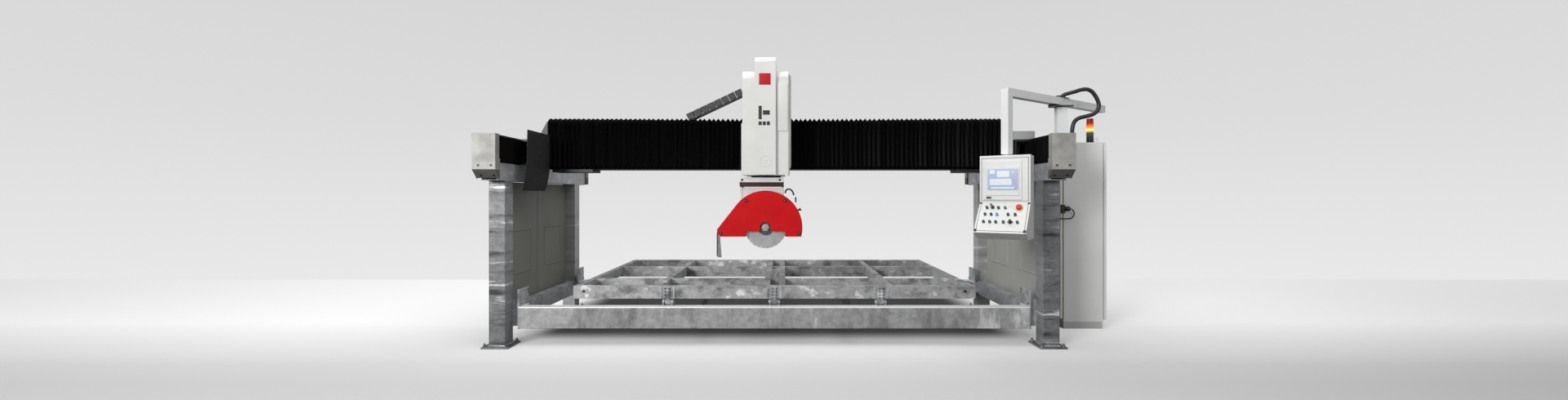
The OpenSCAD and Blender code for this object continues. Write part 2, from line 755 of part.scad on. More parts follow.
// The first links of the cable chain, on a sloping boom behind the cover
module cable_chain_boom() {
    run = norm([575, 272]);
    slope = atan2(272, 575);
    links = 8;
    step = run / links;
    color([0.14, 0.14, 0.15]) {
        translate([-344, -190, 2488]) rotate([0, -slope, 0]) {
            for (i = [1 : links]) translate([-step * i + 2, -40, -37]) cube([step - 4, 80, 74]);
            translate([-run, -42, -46]) cube([run - 4, 84, 6]);
        }
        block([-312, -230, 2421], [-292, -150, 2546]);
        block([-292, bridge_face - 38, 2440], [-280, -150, 2520]);
    }
}

module lift_screw() {
    color([0.7, 0.7, 0.72]) rod_z(head_x, head_y, 1700, 2420, screw_r);
}

module ram_column() {
    wall = 12;
    top = 2300;
    color([0.70, 0.71, 0.72]) difference() {
        block([head_x - ram_half, head_y - ram_half, 1590], [head_x + ram_half, head_y + ram_half, top]);
        block([head_x - ram_half + wall, head_y - ram_half + wall, 1610],
            [head_x + ram_half - wall, head_y + ram_half - wall, top - 30]);
        rod_z(head_x, head_y, top - 31, top + 1, screw_r + fit);
    }
}

module slew_ring() {
    color([0.12, 0.12, 0.13]) {
        rod_z(head_x, head_y, 1576, 1590, 150);
        rod_z(head_x, head_y, 1535, 1576, 60);
    }
}

module turret_fork() {
    x0 = fork_x - fork_half;
    x1 = fork_x + fork_half;
    color([0.68, 0.69, 0.70]) {
        difference() {
            translate([x0, 0, 0]) rotate([90, 0, 90]) linear_extrude(x1 - x0)
                polygon([[head_y - 200, 1529], [head_y - 200, 1575], [head_y + 150, 1575],
                    [head_y + 150, 1529],
                    [head_y - 130, 1529], [head_y - 144, 1485], [head_y - 150, 1485]]);
            rod_z(head_x, head_y, 1528, 1577, 60 + fit);
        }
        for (x = [x0, x1 - fork_plate]) difference() {
            translate([x, 0, 0]) rotate([90, 0, 90]) linear_extrude(fork_plate) union() {
                polygon([[head_y - 130, tilt_z], [head_y - 130, 1529], [head_y + 130, 1529],
                    [head_y + 130, tilt_z]]);
                translate([head_y, tilt_z]) circle(r = 130, $fn = 96);
            }
            rod_x(x - 1, x + fork_plate + 1, head_y, tilt_z, trunnion_r + fit);
        }
        for (dx = [-227, 137]) hex_y(head_x + dx, head_y - 208, head_y - 200, 1552, 11);
    }
}

// ---- Cutting head ----

module spindle_motor() {
    x0 = fork_x - fork_half + fork_plate + 2;
    x1 = fork_x + fork_half - fork_plate - 2;
    color([0.66, 0.67, 0.68]) {
        block([x0, head_y - 130, 1060], [x1, head_y + 130, 1479]);
        rod_x(x0 - 2, x0, head_y, tilt_z, 60);
        rod_x(x1, x1 + 2, head_y, tilt_z, 60);
        rod_x(x0 - fork_plate - 14, x0, head_y, tilt_z, trunnion_r);
        rod_x(x1, x1 + fork_plate + 14, head_y, tilt_z, trunnion_r);
        difference() {
            rod_y(head_x, -595, head_y - 130, spindle_z, 70);
            rod_y(head_x, -600, head_y - 120, spindle_z, 22 + fit);
        }
    }
    color([0.35, 0.37, 0.40]) {
        rod_y(head_x, head_y + 130, -110, spindle_z, 115);
        for (k = [0 : 17]) rotate_fin(k * 20);
        rod_y(head_x, -110, -75, spindle_z, 108);
        block([head_x - 60, head_y + 190, spindle_z + 105], [head_x + 60, head_y + 300, spindle_z + 165]);
    }
}

module rotate_fin(a) {
    translate([head_x, head_y + 150, spindle_z]) rotate([0, a, 0]) block([-2, 0, 100], [2, 180, 124]);
}

// Front outline of the guard about the spindle; inset is the wall inside it
module guard_outline(inset) {
    r = guard_r - inset;
    tip = guard_tip - inset;
    far = acos(r / norm([tip, 15]));
    meet = 180 + atan2(15, tip) - far;
    low = guard_low - (inset > 0 ? 1 : 0);
    union() {
        intersection() {
            circle(r = r, $fn = 128);
            translate([-r - 1, low]) square([2 * r + 2, r - low + 2]);
        }
        polygon([[0, low], [0, 0], [r * cos(meet), r * sin(meet)], [-tip, -15], [-tip, low]]);
    }
}

module blade_guard() {
    y0 = -695;
    color([0.80, 0.05, 0.06]) translate([head_x, y0 + guard_d, spindle_z]) rotate([90, 0, 0]) difference() {
        linear_extrude(guard_d) guard_outline(0);
        translate([0, 0, 5]) linear_extrude(guard_d - 10) guard_outline(5);
        for (z = [-1, guard_d - 6]) translate([-step_half, guard_low - 1, z]) cube([2 * step_half, 53, 8]);
        translate([0, 0, -1]) cylinder(r = hub_notch_r, h = guard_d + 2, $fn = 96);
        translate([-hub_notch_r, guard_low - 1, -1]) cube([2 * hub_notch_r, -guard_low, guard_d + 2]);
    }
}

module guard_bolts() {
    color([0.08, 0.08, 0.08]) for (p = [[-186, 260], [187, 262], [-430, -52], [322, -52]]) {
        rod_y(head_x + p[0], -699, -695, spindle_z + p[1], 17);
        hex_y(head_x + p[0], -706, -699, spindle_z + p[1], 10);
    }
}

module splash_strips() {
    x = head_x - guard_tip;
    color([0.6, 0.6, 0.58]) {
        block([x + 6, -699, 807], [x + 46, -696, 1022]);
        block([x - 4, -690, 815], [x - 1, -600, 1040]);
    }
}

module water_hose() {
    color([0.07, 0.07, 0.07]) swept_tube(water_route, water_r, [0, 1, 0]);
    color([0.55, 0.5, 0.35]) {
        rod_z(184, -628, 1371, 1402, 13);
        rod_x(184, 224, -628, 1378, 9);
        block([180, -636, 1359], [202, -600, 1387]);
    }
}

module valve_handle() {
    color([0.1, 0.1, 0.1]) {
        rod_y(204, -652, -637, 1378, 6);
        block([197, -656, 1333], [211, -651, 1385]);
    }
}

module blade() {
    color([0.72, 0.73, 0.74]) difference() {
        rod_y(head_x, blade_y - blade_t / 2, blade_y + blade_t / 2, spindle_z, blade_r);
        rod_y(head_x, blade_y - 5, blade_y + 5, spindle_z, 25);
    }
}

module blade_flange() {
    color([0.62, 0.63, 0.64]) {
        rod_y(head_x, blade_y - 16, blade_y - blade_t / 2, spindle_z, 74);
        rod_y(head_x, blade_y + blade_t / 2, blade_y + 16, spindle_z, 74);
        rod_y(head_x, blade_y - 16, blade_y + 16, spindle_z, 24.9);
        rod_y(head_x, blade_y + 16, head_y - 131, spindle_z, 22);
        hex_y(head_x, blade_y - 42, blade_y - 16, spindle_z, 38);
        rod_y(head_x, blade_y - 56, blade_y - 42, spindle_z, 22);
    }
}

// ---- Table ----

module table_rails() {
    color([0.62, 0.64, 0.66]) {
        for (y = rail_ys) block([-table_half, y - rail_w / 2, rail_z], [table_half, y + rail_w / 2,
            table_top]);
        for (x = clevis_xs) difference() {
            union() {
                block([x - 30, pivot_y - 30, pivot_z - 4], [x + 30, pivot_y + 18, rail_z]);
                rod_x(x - 30, x + 30, pivot_y, pivot_z, 28);
            }
            rod_x(x - 31, x + 31, pivot_y, pivot_z, pivot_r + fit);
        }
        for (x = cylinder_xs, dx = [-38, 30]) difference() {
            block([x + dx, rail_ys[1] + rail_w / 2, lug_z - 32], [x + dx + 8, lug_y + 34, lug_z + 60]);
            rod_x(x + dx - 1, x + dx + 9, lug_y, lug_z, 20);
        }
    }
}

module table_cross_members() {
    h = 100;
    color([0.64, 0.66, 0.68]) {
        for (x = member_xs, i = [0 : 2])
            block([x - 30, rail_ys[i] + rail_w / 2, table_top - h], [x + 30,
                rail_ys[i + 1] - rail_w / 2, table_top]);
        difference() {
            block([-45, rail_ys[1] + rail_w / 2 + 40, table_top - 30], [45,
                rail_ys[2] - rail_w / 2 - 40, table_top - 20]);
            for (y = [-120, 186, 492]) rod_z(0, y, table_top - 31, table_top - 19, 22);
        }
        for (x = clevis_xs) block([x - 26, rail_ys[0] - rail_w / 2 - 10, rail_z - 8],
            [x + 26, rail_ys[0] - rail_w / 2, table_top - 4]);
    }
}

// Children placed along a lift cylinder, from its base pin
module along_cylinder(x) {
    translate([x, base_y, base_z]) rotate([stroke_turn, 0, 0]) children();
}

module lift_barrels() {
    color([0.12, 0.12, 0.13]) for (x = cylinder_xs) along_cylinder(x) difference() {
        union() {
            rod_y(0, 38, 400, 0, 38);
            block([-30, -4, -30], [30, 40, 30]);
            rod_x(-30, 30, 0, 0, 32);
        }
        rod_x(-31, 31, 0, 0, pivot_r + fit);
        rod_y(0, 120, 401, 0, 22 + fit);
    }
}

module lift_rods() {
    color([0.78, 0.79, 0.80]) for (x = cylinder_xs) along_cylinder(x) {
        rod_y(0, 122, cylinder_len - 20, 0, 22);
        rod_x(-24, 24, cylinder_len, 0, 26);
        rod_x(-40, 40, cylinder_len, 0, 12);
    }
}

// ---- Console ----

// Children in the arm's own frame: X along the arm from the mast
module on_arm() {
    translate([mast_x, mast_y, 0]) rotate([0, 0, arm_turn]) children();
}

// Children in the console's own frame: the drop tube is at the origin, the face towards -Y
module on_console() {
    translate([mast_x + drop_at * cos(arm_turn), mast_y + drop_at * sin(arm_turn), 0])
        rotate([0, 0, console_turn]) children();
}

module console_arm() {
    half = arm_w / 2;
    color([0.80, 0.81, 0.80]) on_arm() difference() {
        block([drop_at + half + 0.5, -half, arm_z], [arm_end, half, arm_z + arm_w]);
        rod_z(0, 0, arm_z - 1, arm_z + arm_w + 1, 20 + fit);
    }
    color([0.80, 0.81, 0.80]) on_arm()
        block([drop_at - half, -half, drop_bottom + 8], [drop_at + half, half, arm_z + arm_w]);
    color([0.08, 0.08, 0.08]) on_arm() {
        block([-152, -45, arm_z - 16], [-122, 45, arm_z]);
        block([-50, -50, arm_z + arm_w], [70, 50, arm_z + arm_w + 6]);
    }
    on_arm() color([0.7, 0.7, 0.7]) rod_z(drop_at, 0, drop_bottom - 20, drop_bottom + 8, 20);
}

// The console's side outline, with a wall inset
module console_side(inset) {
    polygon([[71 - inset, 1749 - inset], [fold_y + inset, 1749 - inset], [fold_y + inset,
        fold_z - inset * 0.4],
        [lip_y + inset * 1.67, lip_z + inset * 0.32], [-200, console_base + inset],
        [71 - inset, console_base + inset]]);
}

// Children on the lower panel: X across, Y up the slope, Z out of the panel
module on_panel() {
    on_console() translate([0, fold_y, fold_z]) rotate([90 - panel_tilt, 0, 0]) children();
}

// Place of a control on the panel, from its share of the width and of the slope
function spot(across, down) = [(across - 0.5) * console_w, -down * panel_len];

black_spots = [spot(0.17, 0.165), spot(0.4, 0.165), spot(0.16, 0.39), spot(0.28, 0.39), spot(0.61, 0.39),
    spot(0.745, 0.39), spot(0.16, 0.645), spot(0.28, 0.645), spot(0.4, 0.645), spot(0.545, 0.645),
    spot(0.81, 0.645)];
green_spot = spot(0.53, 0.165);
blue_spot = spot(0.395, 0.39);
stop_spot = spot(0.8, 0.165);
selector_spot = spot(0.285, 0.165);
stick_spot = spot(0.675, 0.645);
stem_r = 7;

module console_housing() {
    wall = 4;
    half = console_w / 2;
    all_spots = concat(black_spots, [green_spot, blue_spot, stop_spot, selector_spot, stick_spot]);
    color([0.84, 0.85, 0.82]) difference() {
        on_console() difference() {
            translate([-half, 0, 0]) rotate([90, 0, 90]) linear_extrude(console_w) console_side(0);
            translate([-half + wall, 0, 0]) rotate([90, 0, 90]) linear_extrude(console_w - 2 * wall)
                console_side(wall);
            rod_z(0, 0, 1740, 1755, 20 + fit);
        }
        on_panel() for (s = all_spots) translate([s[0], s[1], -12]) cylinder(r = stem_r + fit, h = 20,
            $fn = 48);
    }
    color([0.7, 0.7, 0.7]) on_console() difference() {
        rod_z(0, 0, 1749, drop_bottom, 45);
        rod_z(0, 0, 1748, drop_bottom + 1, 20 + fit);
    }
}

module console_screen() {
    y = fold_y;
    color([0.86, 0.87, 0.85]) on_console() {
        block([-172, y - 8, 1362], [140, y, 1700]);
        block([-150, y - 12, 1400], [122, y - 8, 1650]);
    }
    color([0.55, 0.65, 0.85]) on_console() block([-136, y - 14, 1450], [110, y - 12, 1630]);
}

// A cap on a stem, standing off the panel by its travel
module button(s, cap_r, cap_h) {
    translate([s[0], s[1], button_travel + 1]) cylinder(r = cap_r, h = cap_h, $fn = 48);
    translate([s[0], s[1], -10]) cylinder(r = stem_r, h = button_travel + 12, $fn = 48);
}

module emergency_stop() {
    color([0.85, 0.06, 0.05]) on_panel() button(stop_spot, stop_r, 22);
}

module green_button() {
    color([0.05, 0.35, 0.22]) on_panel() button(green_spot, button_r, 8);
}

module blue_button() {
    color([0.2, 0.45, 0.75]) on_panel() button(blue_spot, button_r, 8);
}

module black_buttons() {
    color([0.04, 0.04, 0.04]) on_panel() for (s = black_spots) button(s, button_r, 8);
}

module selector_switch() {
    color([0.04, 0.04, 0.04]) on_panel() {
        button(selector_spot, 14, 12);
        translate([selector_spot[0], selector_spot[1], button_travel + 13]) rotate(125)
            block([-10, -6, 0], [34, 6, 12]);
    }
}

module joystick() {
    color([0.06, 0.06, 0.06]) on_panel() {
        translate([stick_spot[0], stick_spot[1], -10]) cylinder(r = stem_r, h = 16, $fn = 48);
        translate([stick_spot[0], stick_spot[1], 3]) rotate(45) block([-16, -16, 0], [16, 16, 7]);
        translate([stick_spot[0], stick_spot[1], 8]) cylinder(r = 9, h = 26, $fn = 32);
    }
}

// ---- Cabinet door ----

module cabinet_door() {
    color([0.76, 0.76, 0.74]) difference() {
        union() {
            for (z = hinge_zs) rod_z(hinge_x, hinge_y, z - 35, z + 35, 10);
            block([cabinet_x1 + 12, cabinet_y0, plinth_h + 20], [cabinet_x1 + 37, cabinet_y1,
                cabinet_top - 3]);
            block([cabinet_x1 + door_gap, cabinet_y0 + 30, plinth_h + 50],
                [cabinet_x1 + 12, cabinet_y1 - 30, cabinet_top - 33]);
        }
        rod_x(cabinet_x1, cabinet_x1 + 40, handle_y, handle_z, 9 + fit);
        for (z = hinge_zs) rod_z(hinge_x, hinge_y, z - 36, z + 36, 5 + fit);
    }
}

module door_handle() {
    color([0.1, 0.1, 0.1]) {
        rod_x(cabinet_x1 + 5, cabinet_x1 + 47, handle_y, handle_z, 9);
        block([cabinet_x1 + 37.3, handle_y - 14, handle_z - 110], [cabinet_x1 + 47, handle_y + 14,
            handle_z + 110]);
    }
}

posts();
runway_beams();
runway_racks();
runway_end_caps();
runway_bellows_front();
runway_bellows_rear();
crossbeams();
side_beams();
beam_brackets();
frame_bolts();
side_panels();
table_pivots();
console_mast();
console_hose();
cabinet_body();
cabinet_components();
signal_tower();
cabinet_plug();
cabinet_lead();
bridge_beam();
bridge_trolleys();
bridge_rails();
bridge_bellows_left();
bridge_bellows_right();
rubber_flap();
travel_motors();
drive_pinion_left();
drive_pinion_right();
carriage_plate();
head_cover();
column_cover();
lift_motor();
cable_chain_boom();
lift_screw();
ram_column();
slew_ring();
turret_fork();
spindle_motor();
blade_guard();
guard_bolts();
splash_strips();
water_hose();
valve_handle();
blade();
blade_flange();
table_rails();
table_cross_members();
lift_barrels();
lift_rods();
console_arm();
console_housing();
console_screen();
emergency_stop();
green_button();
blue_button();
black_buttons();
selector_switch();
joystick();
cabinet_door();
door_handle();
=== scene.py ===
import math
import random

import bmesh
import bpy
from mathutils import Matrix, Vector
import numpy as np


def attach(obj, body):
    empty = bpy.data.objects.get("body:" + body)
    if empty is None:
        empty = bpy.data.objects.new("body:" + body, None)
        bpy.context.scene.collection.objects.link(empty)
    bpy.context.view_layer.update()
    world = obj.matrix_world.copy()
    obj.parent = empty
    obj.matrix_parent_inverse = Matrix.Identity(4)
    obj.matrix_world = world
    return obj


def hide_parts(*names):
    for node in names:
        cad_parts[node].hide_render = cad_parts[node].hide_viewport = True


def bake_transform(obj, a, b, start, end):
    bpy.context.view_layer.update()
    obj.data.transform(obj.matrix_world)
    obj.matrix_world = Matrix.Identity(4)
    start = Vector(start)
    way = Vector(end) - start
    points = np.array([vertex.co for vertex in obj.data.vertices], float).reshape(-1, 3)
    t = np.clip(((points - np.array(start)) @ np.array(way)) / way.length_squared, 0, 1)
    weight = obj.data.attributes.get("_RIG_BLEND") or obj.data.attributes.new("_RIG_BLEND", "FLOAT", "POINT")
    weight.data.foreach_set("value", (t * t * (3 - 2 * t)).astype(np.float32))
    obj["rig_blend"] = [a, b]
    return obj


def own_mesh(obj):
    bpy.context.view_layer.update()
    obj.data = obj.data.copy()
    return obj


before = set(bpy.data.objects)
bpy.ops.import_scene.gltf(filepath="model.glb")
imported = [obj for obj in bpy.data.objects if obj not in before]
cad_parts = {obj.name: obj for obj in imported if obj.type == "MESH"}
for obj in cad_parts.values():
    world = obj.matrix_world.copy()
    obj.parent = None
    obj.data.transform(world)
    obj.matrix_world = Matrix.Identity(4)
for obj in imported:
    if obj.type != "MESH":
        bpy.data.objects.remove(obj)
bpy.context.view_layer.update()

# ---- Camera, floor and studio light ----
# The machine stands on a pale studio floor in front of a plain lit background. The floor carries a painted
# shadow under the machine, and painted light that makes it paler and glow towards the back.
# A level camera at eye height faces the bridge square on.

def steel_point(x, y, z):
    """A place in the row frame, from millimetres."""
    return Vector((x / 1000, y / 1000, z / 1000))


camera_data = bpy.data.cameras.new("studio_camera")
camera_data.sensor_width = 36
camera_data.lens = 12.62
camera_data.shift_x = 0.00104
camera_data.shift_y = -0.0026
camera = bpy.data.objects.new("studio_camera", camera_data)
camera.location = steel_point(75, -5973, 1396)
camera.rotation_euler = (math.pi / 2, 0, 0)
bpy.context.scene.collection.objects.link(camera)
bpy.context.scene.camera = camera
bpy.context.scene.view_settings.view_transform = "Standard"


def new_finish(name, rough=0.5, metal=0.0):
    """An empty finish, with its shader and its place on the piece in metres."""
    finish = bpy.data.materials.new(name)
    finish.use_nodes = True
    tree = finish.node_tree
    shader = tree.nodes["Principled BSDF"]
    shader.inputs["Roughness"].default_value = rough
    shader.inputs["Metallic"].default_value = metal
    place = tree.nodes.new("ShaderNodeTexCoord").outputs["Object"]
    return finish, tree, shader, place


def stretched(tree, place, scale):
    """The same place, scaled along each axis."""
    mapping = tree.nodes.new("ShaderNodeMapping")
    mapping.inputs["Scale"].default_value = scale
    tree.links.new(place, mapping.inputs["Vector"])
    return mapping.outputs["Vector"]


def noise(tree, place, scale, detail=4.0, rough=0.55):
    """A cloudy value from 0 to 1."""
    node = tree.nodes.new("ShaderNodeTexNoise")
    node.inputs["Scale"].default_value = scale
    node.inputs["Detail"].default_value = detail
    node.inputs["Roughness"].default_value = rough
    tree.links.new(place, node.inputs["Vector"])
    return node.outputs["Fac"]


def ramp(tree, value, stops):
    """A colour for each value, from (position, colour) stops."""
    node = tree.nodes.new("ShaderNodeValToRGB")
    marks = node.color_ramp.elements
    while len(marks) < len(stops):
        marks.new(0.5)
    for mark, (position, colour) in zip(marks, stops):
        mark.position = position
        mark.color = (*colour, 1)
    tree.links.new(value, node.inputs["Fac"])
    return node.outputs["Color"]


def blended(tree, share, first, second, how="MIX"):
    """Two colours mixed by a share."""
    node = tree.nodes.new("ShaderNodeMix")
    node.data_type = "RGBA"
    node.blend_type = how
    for socket, value in ((0, share), (6, first), (7, second)):
        if isinstance(value, bpy.types.NodeSocket):
            tree.links.new(value, node.inputs[socket])
        elif socket:
            node.inputs[socket].default_value = (*value, 1)
        else:
            node.inputs[socket].default_value = value
    return node.outputs[2]


def mottled(name, scale, dark, pale, rough=0.5, metal=0.0, detail=4.0):
    """A finish that drifts between two close tones."""
    finish, tree, shader, place = new_finish(name, rough, metal)
    tones = ramp(tree, noise(tree, place, scale, detail), [(0.3, dark), (0.7, pale)])
    tree.links.new(tones, shader.inputs["Base Color"])
    return finish, tree, shader, place


def span(tree, value, low, high):
    """A 0 to 1 value spread over low to high."""
    node = tree.nodes.new("ShaderNodeMapRange")
    node.inputs["To Min"].default_value = low
    node.inputs["To Max"].default_value = high
    tree.links.new(value, node.inputs["Value"])
    return node.outputs["Result"]


def relief(tree, shader, height, depth, strength=1.0):
    """Small bumps of the given depth in metres, over what is there already."""
    node = tree.nodes.new("ShaderNodeBump")
    node.inputs["Distance"].default_value = depth
    node.inputs["Strength"].default_value = strength
    tree.links.new(height, node.inputs["Height"])
    if shader.inputs["Normal"].is_linked:
        tree.links.new(shader.inputs["Normal"].links[0].from_socket, node.inputs["Normal"])
    tree.links.new(node.outputs["Normal"], shader.inputs["Normal"])


def eased(tree, value, start, end):
    """0 before start, 1 after end, and smooth between."""
    node = tree.nodes.new("ShaderNodeMapRange")
    node.interpolation_type = "SMOOTHSTEP"
    node.inputs["From Min"].default_value = start
    node.inputs["From Max"].default_value = end
    if end < start:
        node.inputs["From Min"].default_value, node.inputs["From Max"].default_value = end, start
        node.inputs["To Min"].default_value, node.inputs["To Max"].default_value = 1, 0
    tree.links.new(value, node.inputs["Value"])
    return node.outputs["Result"]


def combined(tree, how, first, second=0.0):
    """Two values through one math step."""
    node = tree.nodes.new("ShaderNodeMath")
    node.operation = how
    for socket, value in zip(node.inputs, (first, second)):
        if isinstance(value, bpy.types.NodeSocket):
            tree.links.new(value, socket)
        else:
            socket.default_value = value
    return node.outputs["Value"]


floor_finish, tree, shader, place = new_finish("studio_floor", rough=0.8)
shader.inputs["Specular IOR Level"].default_value = 0.1
away = tree.nodes.new("ShaderNodeSeparateXYZ")
tree.links.new(place, away.inputs["Vector"])
depth = tree.nodes.new("ShaderNodeMapRange")
depth.inputs["From Min"].default_value = -3.0
depth.inputs["From Max"].default_value = 3.2
tree.links.new(away.outputs["Y"], depth.inputs["Value"])
# Painted shadow: under the machine the floor's colour and glow fall to dark grey. This covers |x| below 2.75
# m and y from -0.8 to 3.6 m, with soft edges.
across = eased(tree, combined(tree, "ABSOLUTE", away.outputs["X"]), 2.75, 2.2)
painted_shadow_under = combined(tree, "MULTIPLY", across, combined(
    tree, "MULTIPLY", eased(tree, away.outputs["Y"], -0.80, -0.30),
    eased(tree, away.outputs["Y"], 3.6, 3.2)))
seen = tree.nodes.new("ShaderNodeLightPath").outputs["Is Camera Ray"]
# Painted light: the floor's colour is painted paler towards the back, from 0.56 at y -3 m to 0.92 at y 3.2
# m.
lit_floor = ramp(tree, depth.outputs["Result"], [
    (0.0, (0.56,) * 3), (0.18, (0.62,) * 3), (0.30, (0.76,) * 3), (0.5, (0.88,) * 3), (1.0, (0.92,) * 3)])
shaded = blended(tree, painted_shadow_under, lit_floor, (0.10, 0.10, 0.10))
# Painted shade: light bouncing off the floor meets only a dark grey and no glow, so the machine's undersides
# stay dark. Only the camera sees the pale floor.
tree.links.new(blended(tree, seen, (0.12, 0.12, 0.12), shaded), shader.inputs["Base Color"])
# Painted light: the floor is given its own glow, rising towards the back, though it is no lamp.
painted_floor_glow = ramp(tree, depth.outputs["Result"], [
    (0.25, (0, 0, 0)), (0.5, (0.26,) * 3), (1.0, (0.34,) * 3)])
tree.links.new(blended(tree, seen, (0, 0, 0), blended(tree, painted_shadow_under, painted_floor_glow, (0, 0, 0))),
               shader.inputs["Emission Color"])
shader.inputs["Emission Strength"].default_value = 1.0
floor_mesh = bpy.data.meshes.new("studio_floor")
floor_mesh.from_pydata(
    [(-60, -12, 0), (60, -12, 0), (60, 3.2, 0), (-60, 3.2, 0)], [], [(0, 1, 2, 3)])
floor = bpy.data.objects.new("studio_floor", floor_mesh)
floor_mesh.materials.append(floor_finish)
bpy.context.scene.collection.objects.link(floor)

sky = bpy.data.worlds.new("studio_sky")
bpy.context.scene.world = sky
sky.use_nodes = True
tree = sky.node_tree
upward = tree.nodes.new("ShaderNodeSeparateXYZ")
tree.links.new(tree.nodes.new("ShaderNodeTexCoord").outputs["Generated"], upward.inputs["Vector"])
height = tree.nodes.new("ShaderNodeMapRange")
height.inputs["From Min"].default_value = -0.2
height.inputs["From Max"].default_value = 0.4
tree.links.new(upward.outputs["Z"], height.inputs["Value"])
backdrop = ramp(tree, height.outputs["Result"], [
    (0.0, (0.99,) * 3), (0.08, (0.83,) * 3), (0.20, (0.80,) * 3), (0.5, (0.72,) * 3), (0.95, (0.66,) * 3)])
seen = tree.nodes.new("ShaderNodeLightPath").outputs["Is Camera Ray"]
tree.links.new(blended(tree, seen, (0.36, 0.36, 0.37), backdrop), tree.nodes["Background"].inputs["Color"])
tree.nodes["Background"].inputs["Strength"].default_value = 1.0


def lamp(name, where, toward, size, power):
    """A soft square studio light."""
    data = bpy.data.lights.new(name, "AREA")
    data.size = size
    data.energy = power
    light = bpy.data.objects.new(name, data)
    light.location = where
    light.rotation_euler = (Vector(toward) - Vector(where)).to_track_quat("-Z", "Y").to_euler()
    bpy.context.scene.collection.objects.link(light)


lamp("overhead_light", (0, -1.5, 6.5), (0, 0, 0), 7.0, 260)
lamp("left_light", (-7.5, -11.0, 4.6), (0, 0, 1.2), 4.0, 1150)
lamp("right_light", (6.8, -7.5, 3.5), (0.5, 0, 1.2), 3.0, 70)

# ---- Conduit, cabinet lead and water hose ----
# A corrugated black conduit carries the console's wiring from a gland over the mast, round in a loop
# and down into the right runway's cap. A short rubber lead joins the plug to the cabinet's side, and
# a hose brings water to the guard.

rubber_finish, tree, shader, place = new_finish("hose_rubber", rough=0.42)
tree.links.new(
    ramp(tree, noise(tree, place, 60), [(0.3, (0.010, 0.010, 0.011)), (0.8, (0.030, 0.030, 0.031))]),
    shader.inputs["Base Color"])
relief(tree, shader, noise(tree, place, 900), 0.0002, 0.5)


def add_piece(name, mesh, finish, body, replaced=()):
    """A finished mesh as a piece that rides on its body."""
    piece = bpy.data.objects.new(name, mesh)
    bpy.context.scene.collection.objects.link(piece)
    mesh.materials.append(finish)
    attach(piece, body)
    if replaced:
        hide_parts(*replaced)
    return piece


def smooth_route(points, step):
    """Points on one smooth curve through the given ones, a step apart."""
    out = []
    for i in range(len(points) - 1):
        before = points[max(i - 1, 0)]
        after = points[min(i + 2, len(points) - 1)]
        a, b = points[i], points[i + 1]
        count = max(2, round((b - a).length / step))
        for k in range(count):
            t = k / count
            out.append(0.5 * (2 * a + (b - before) * t + (2 * before - 5 * a + 4 * b - after) * t * t
                              + (3 * a - before - 3 * b + after) * t ** 3))
    out.append(points[-1])
    return out


def hose_mesh(name, path, radius_at, sides=20):
    """A tube along a path, with its radius given for each ring."""
    mesh = bpy.data.meshes.new(name)
    bm = bmesh.new()
    rings = []
    side = None
    for i, p in enumerate(path):
        ahead = (path[min(i + 1, len(path) - 1)] - path[max(i - 1, 0)]).normalized()
        if side is None:
            side = ahead.orthogonal().normalized()
        side = (side - ahead * side.dot(ahead)).normalized()
        up = ahead.cross(side)
        r = radius_at(i)
        rings.append([bm.verts.new(p + r * (math.cos(a) * side + math.sin(a) * up))
                      for a in (2 * math.pi * k / sides for k in range(sides))])
    for low, high in zip(rings, rings[1:]):
        for k in range(sides):
            bm.faces.new((low[k], low[(k + 1) % sides], high[(k + 1) % sides], high[k]))
    bm.faces.new(list(reversed(rings[0])))
    bm.faces.new(rings[-1])
    bmesh.ops.recalc_face_normals(bm, faces=bm.faces)
    for face in bm.faces:
        face.smooth = len(face.verts) == 4
    bm.to_mesh(mesh)
    bm.free()
    return mesh


conduit_route = [steel_point(*p) for p in (
    (2815, -600, 2352), (2815, -600, 2370), (2830, -608, 2386), (2866, -622, 2396), (2914, -636, 2408),
    (2966, -646, 2424), (3021, -652, 2428), (3066, -655, 2408), (3102, -656, 2364), (3128, -657, 2310),
    (3136, -657, 2262), (3118, -657, 2217), (3074, -656, 2184), (3003, -655, 2164), (2944, -652, 2148),
    (2906, -647, 2116), (2890, -642, 2064), (2886, -638, 2000), (2886, -634, 1920), (2886, -631, 1810),
    (2886, -628, 1700))]
conduit_path = smooth_route(conduit_route, 0.004)
conduit = add_piece(
    "console_conduit",
    hose_mesh("console_conduit", conduit_path, lambda i: 0.0198 if i % 2 else 0.0176),
    rubber_finish, "frame", ["console_hose"])

lead_route = [steel_point(*p) for p in (
    (3072, -229, 1262), (3086, -229, 1261), (3104, -229, 1253), (3118, -229, 1237), (3124, -229, 1214),
    (3120, -229, 1191), (3107, -229, 1172), (3088, -229, 1161), (3062, -229, 1158), (3034, -229, 1158),
    (3008, -229, 1158), (2990, -226, 1158), (2972, -215, 1158), (2960, -198, 1158), (2956, -176, 1158),
    (2958, -150, 1158), (2966, -126, 1158), (2976, -106, 1158), (2984, -88, 1158))]
lead_path = smooth_route(lead_route, 0.006)
lead = add_piece("cabinet_plug_lead", hose_mesh("cabinet_plug_lead", lead_path, lambda i: 0.006),
                 rubber_finish, "frame", ["cabinet_lead"])

water_route = [steel_point(*p) for p in (
    (104, -604, 1424), (106, -608, 1440), (114, -615, 1454), (128, -622, 1462), (145, -627, 1462),
    (161, -628, 1453), (174, -628, 1438), (182, -628, 1420), (184, -628, 1402))]
water_path = smooth_route(water_route, 0.006)
add_piece("guard_water_hose", hose_mesh("guard_water_hose", water_path, lambda i: 0.008), rubber_finish,
          "cutting_head", ["water_hose"])


# ---- Posts, runway beams, crossbeams and side beams ----
# Four square galvanised posts stand on floor plates and carry a box beam along each side.
# Crossbeams and side beams tie the posts together through bolted plates. Anchor bolts hold the feet.

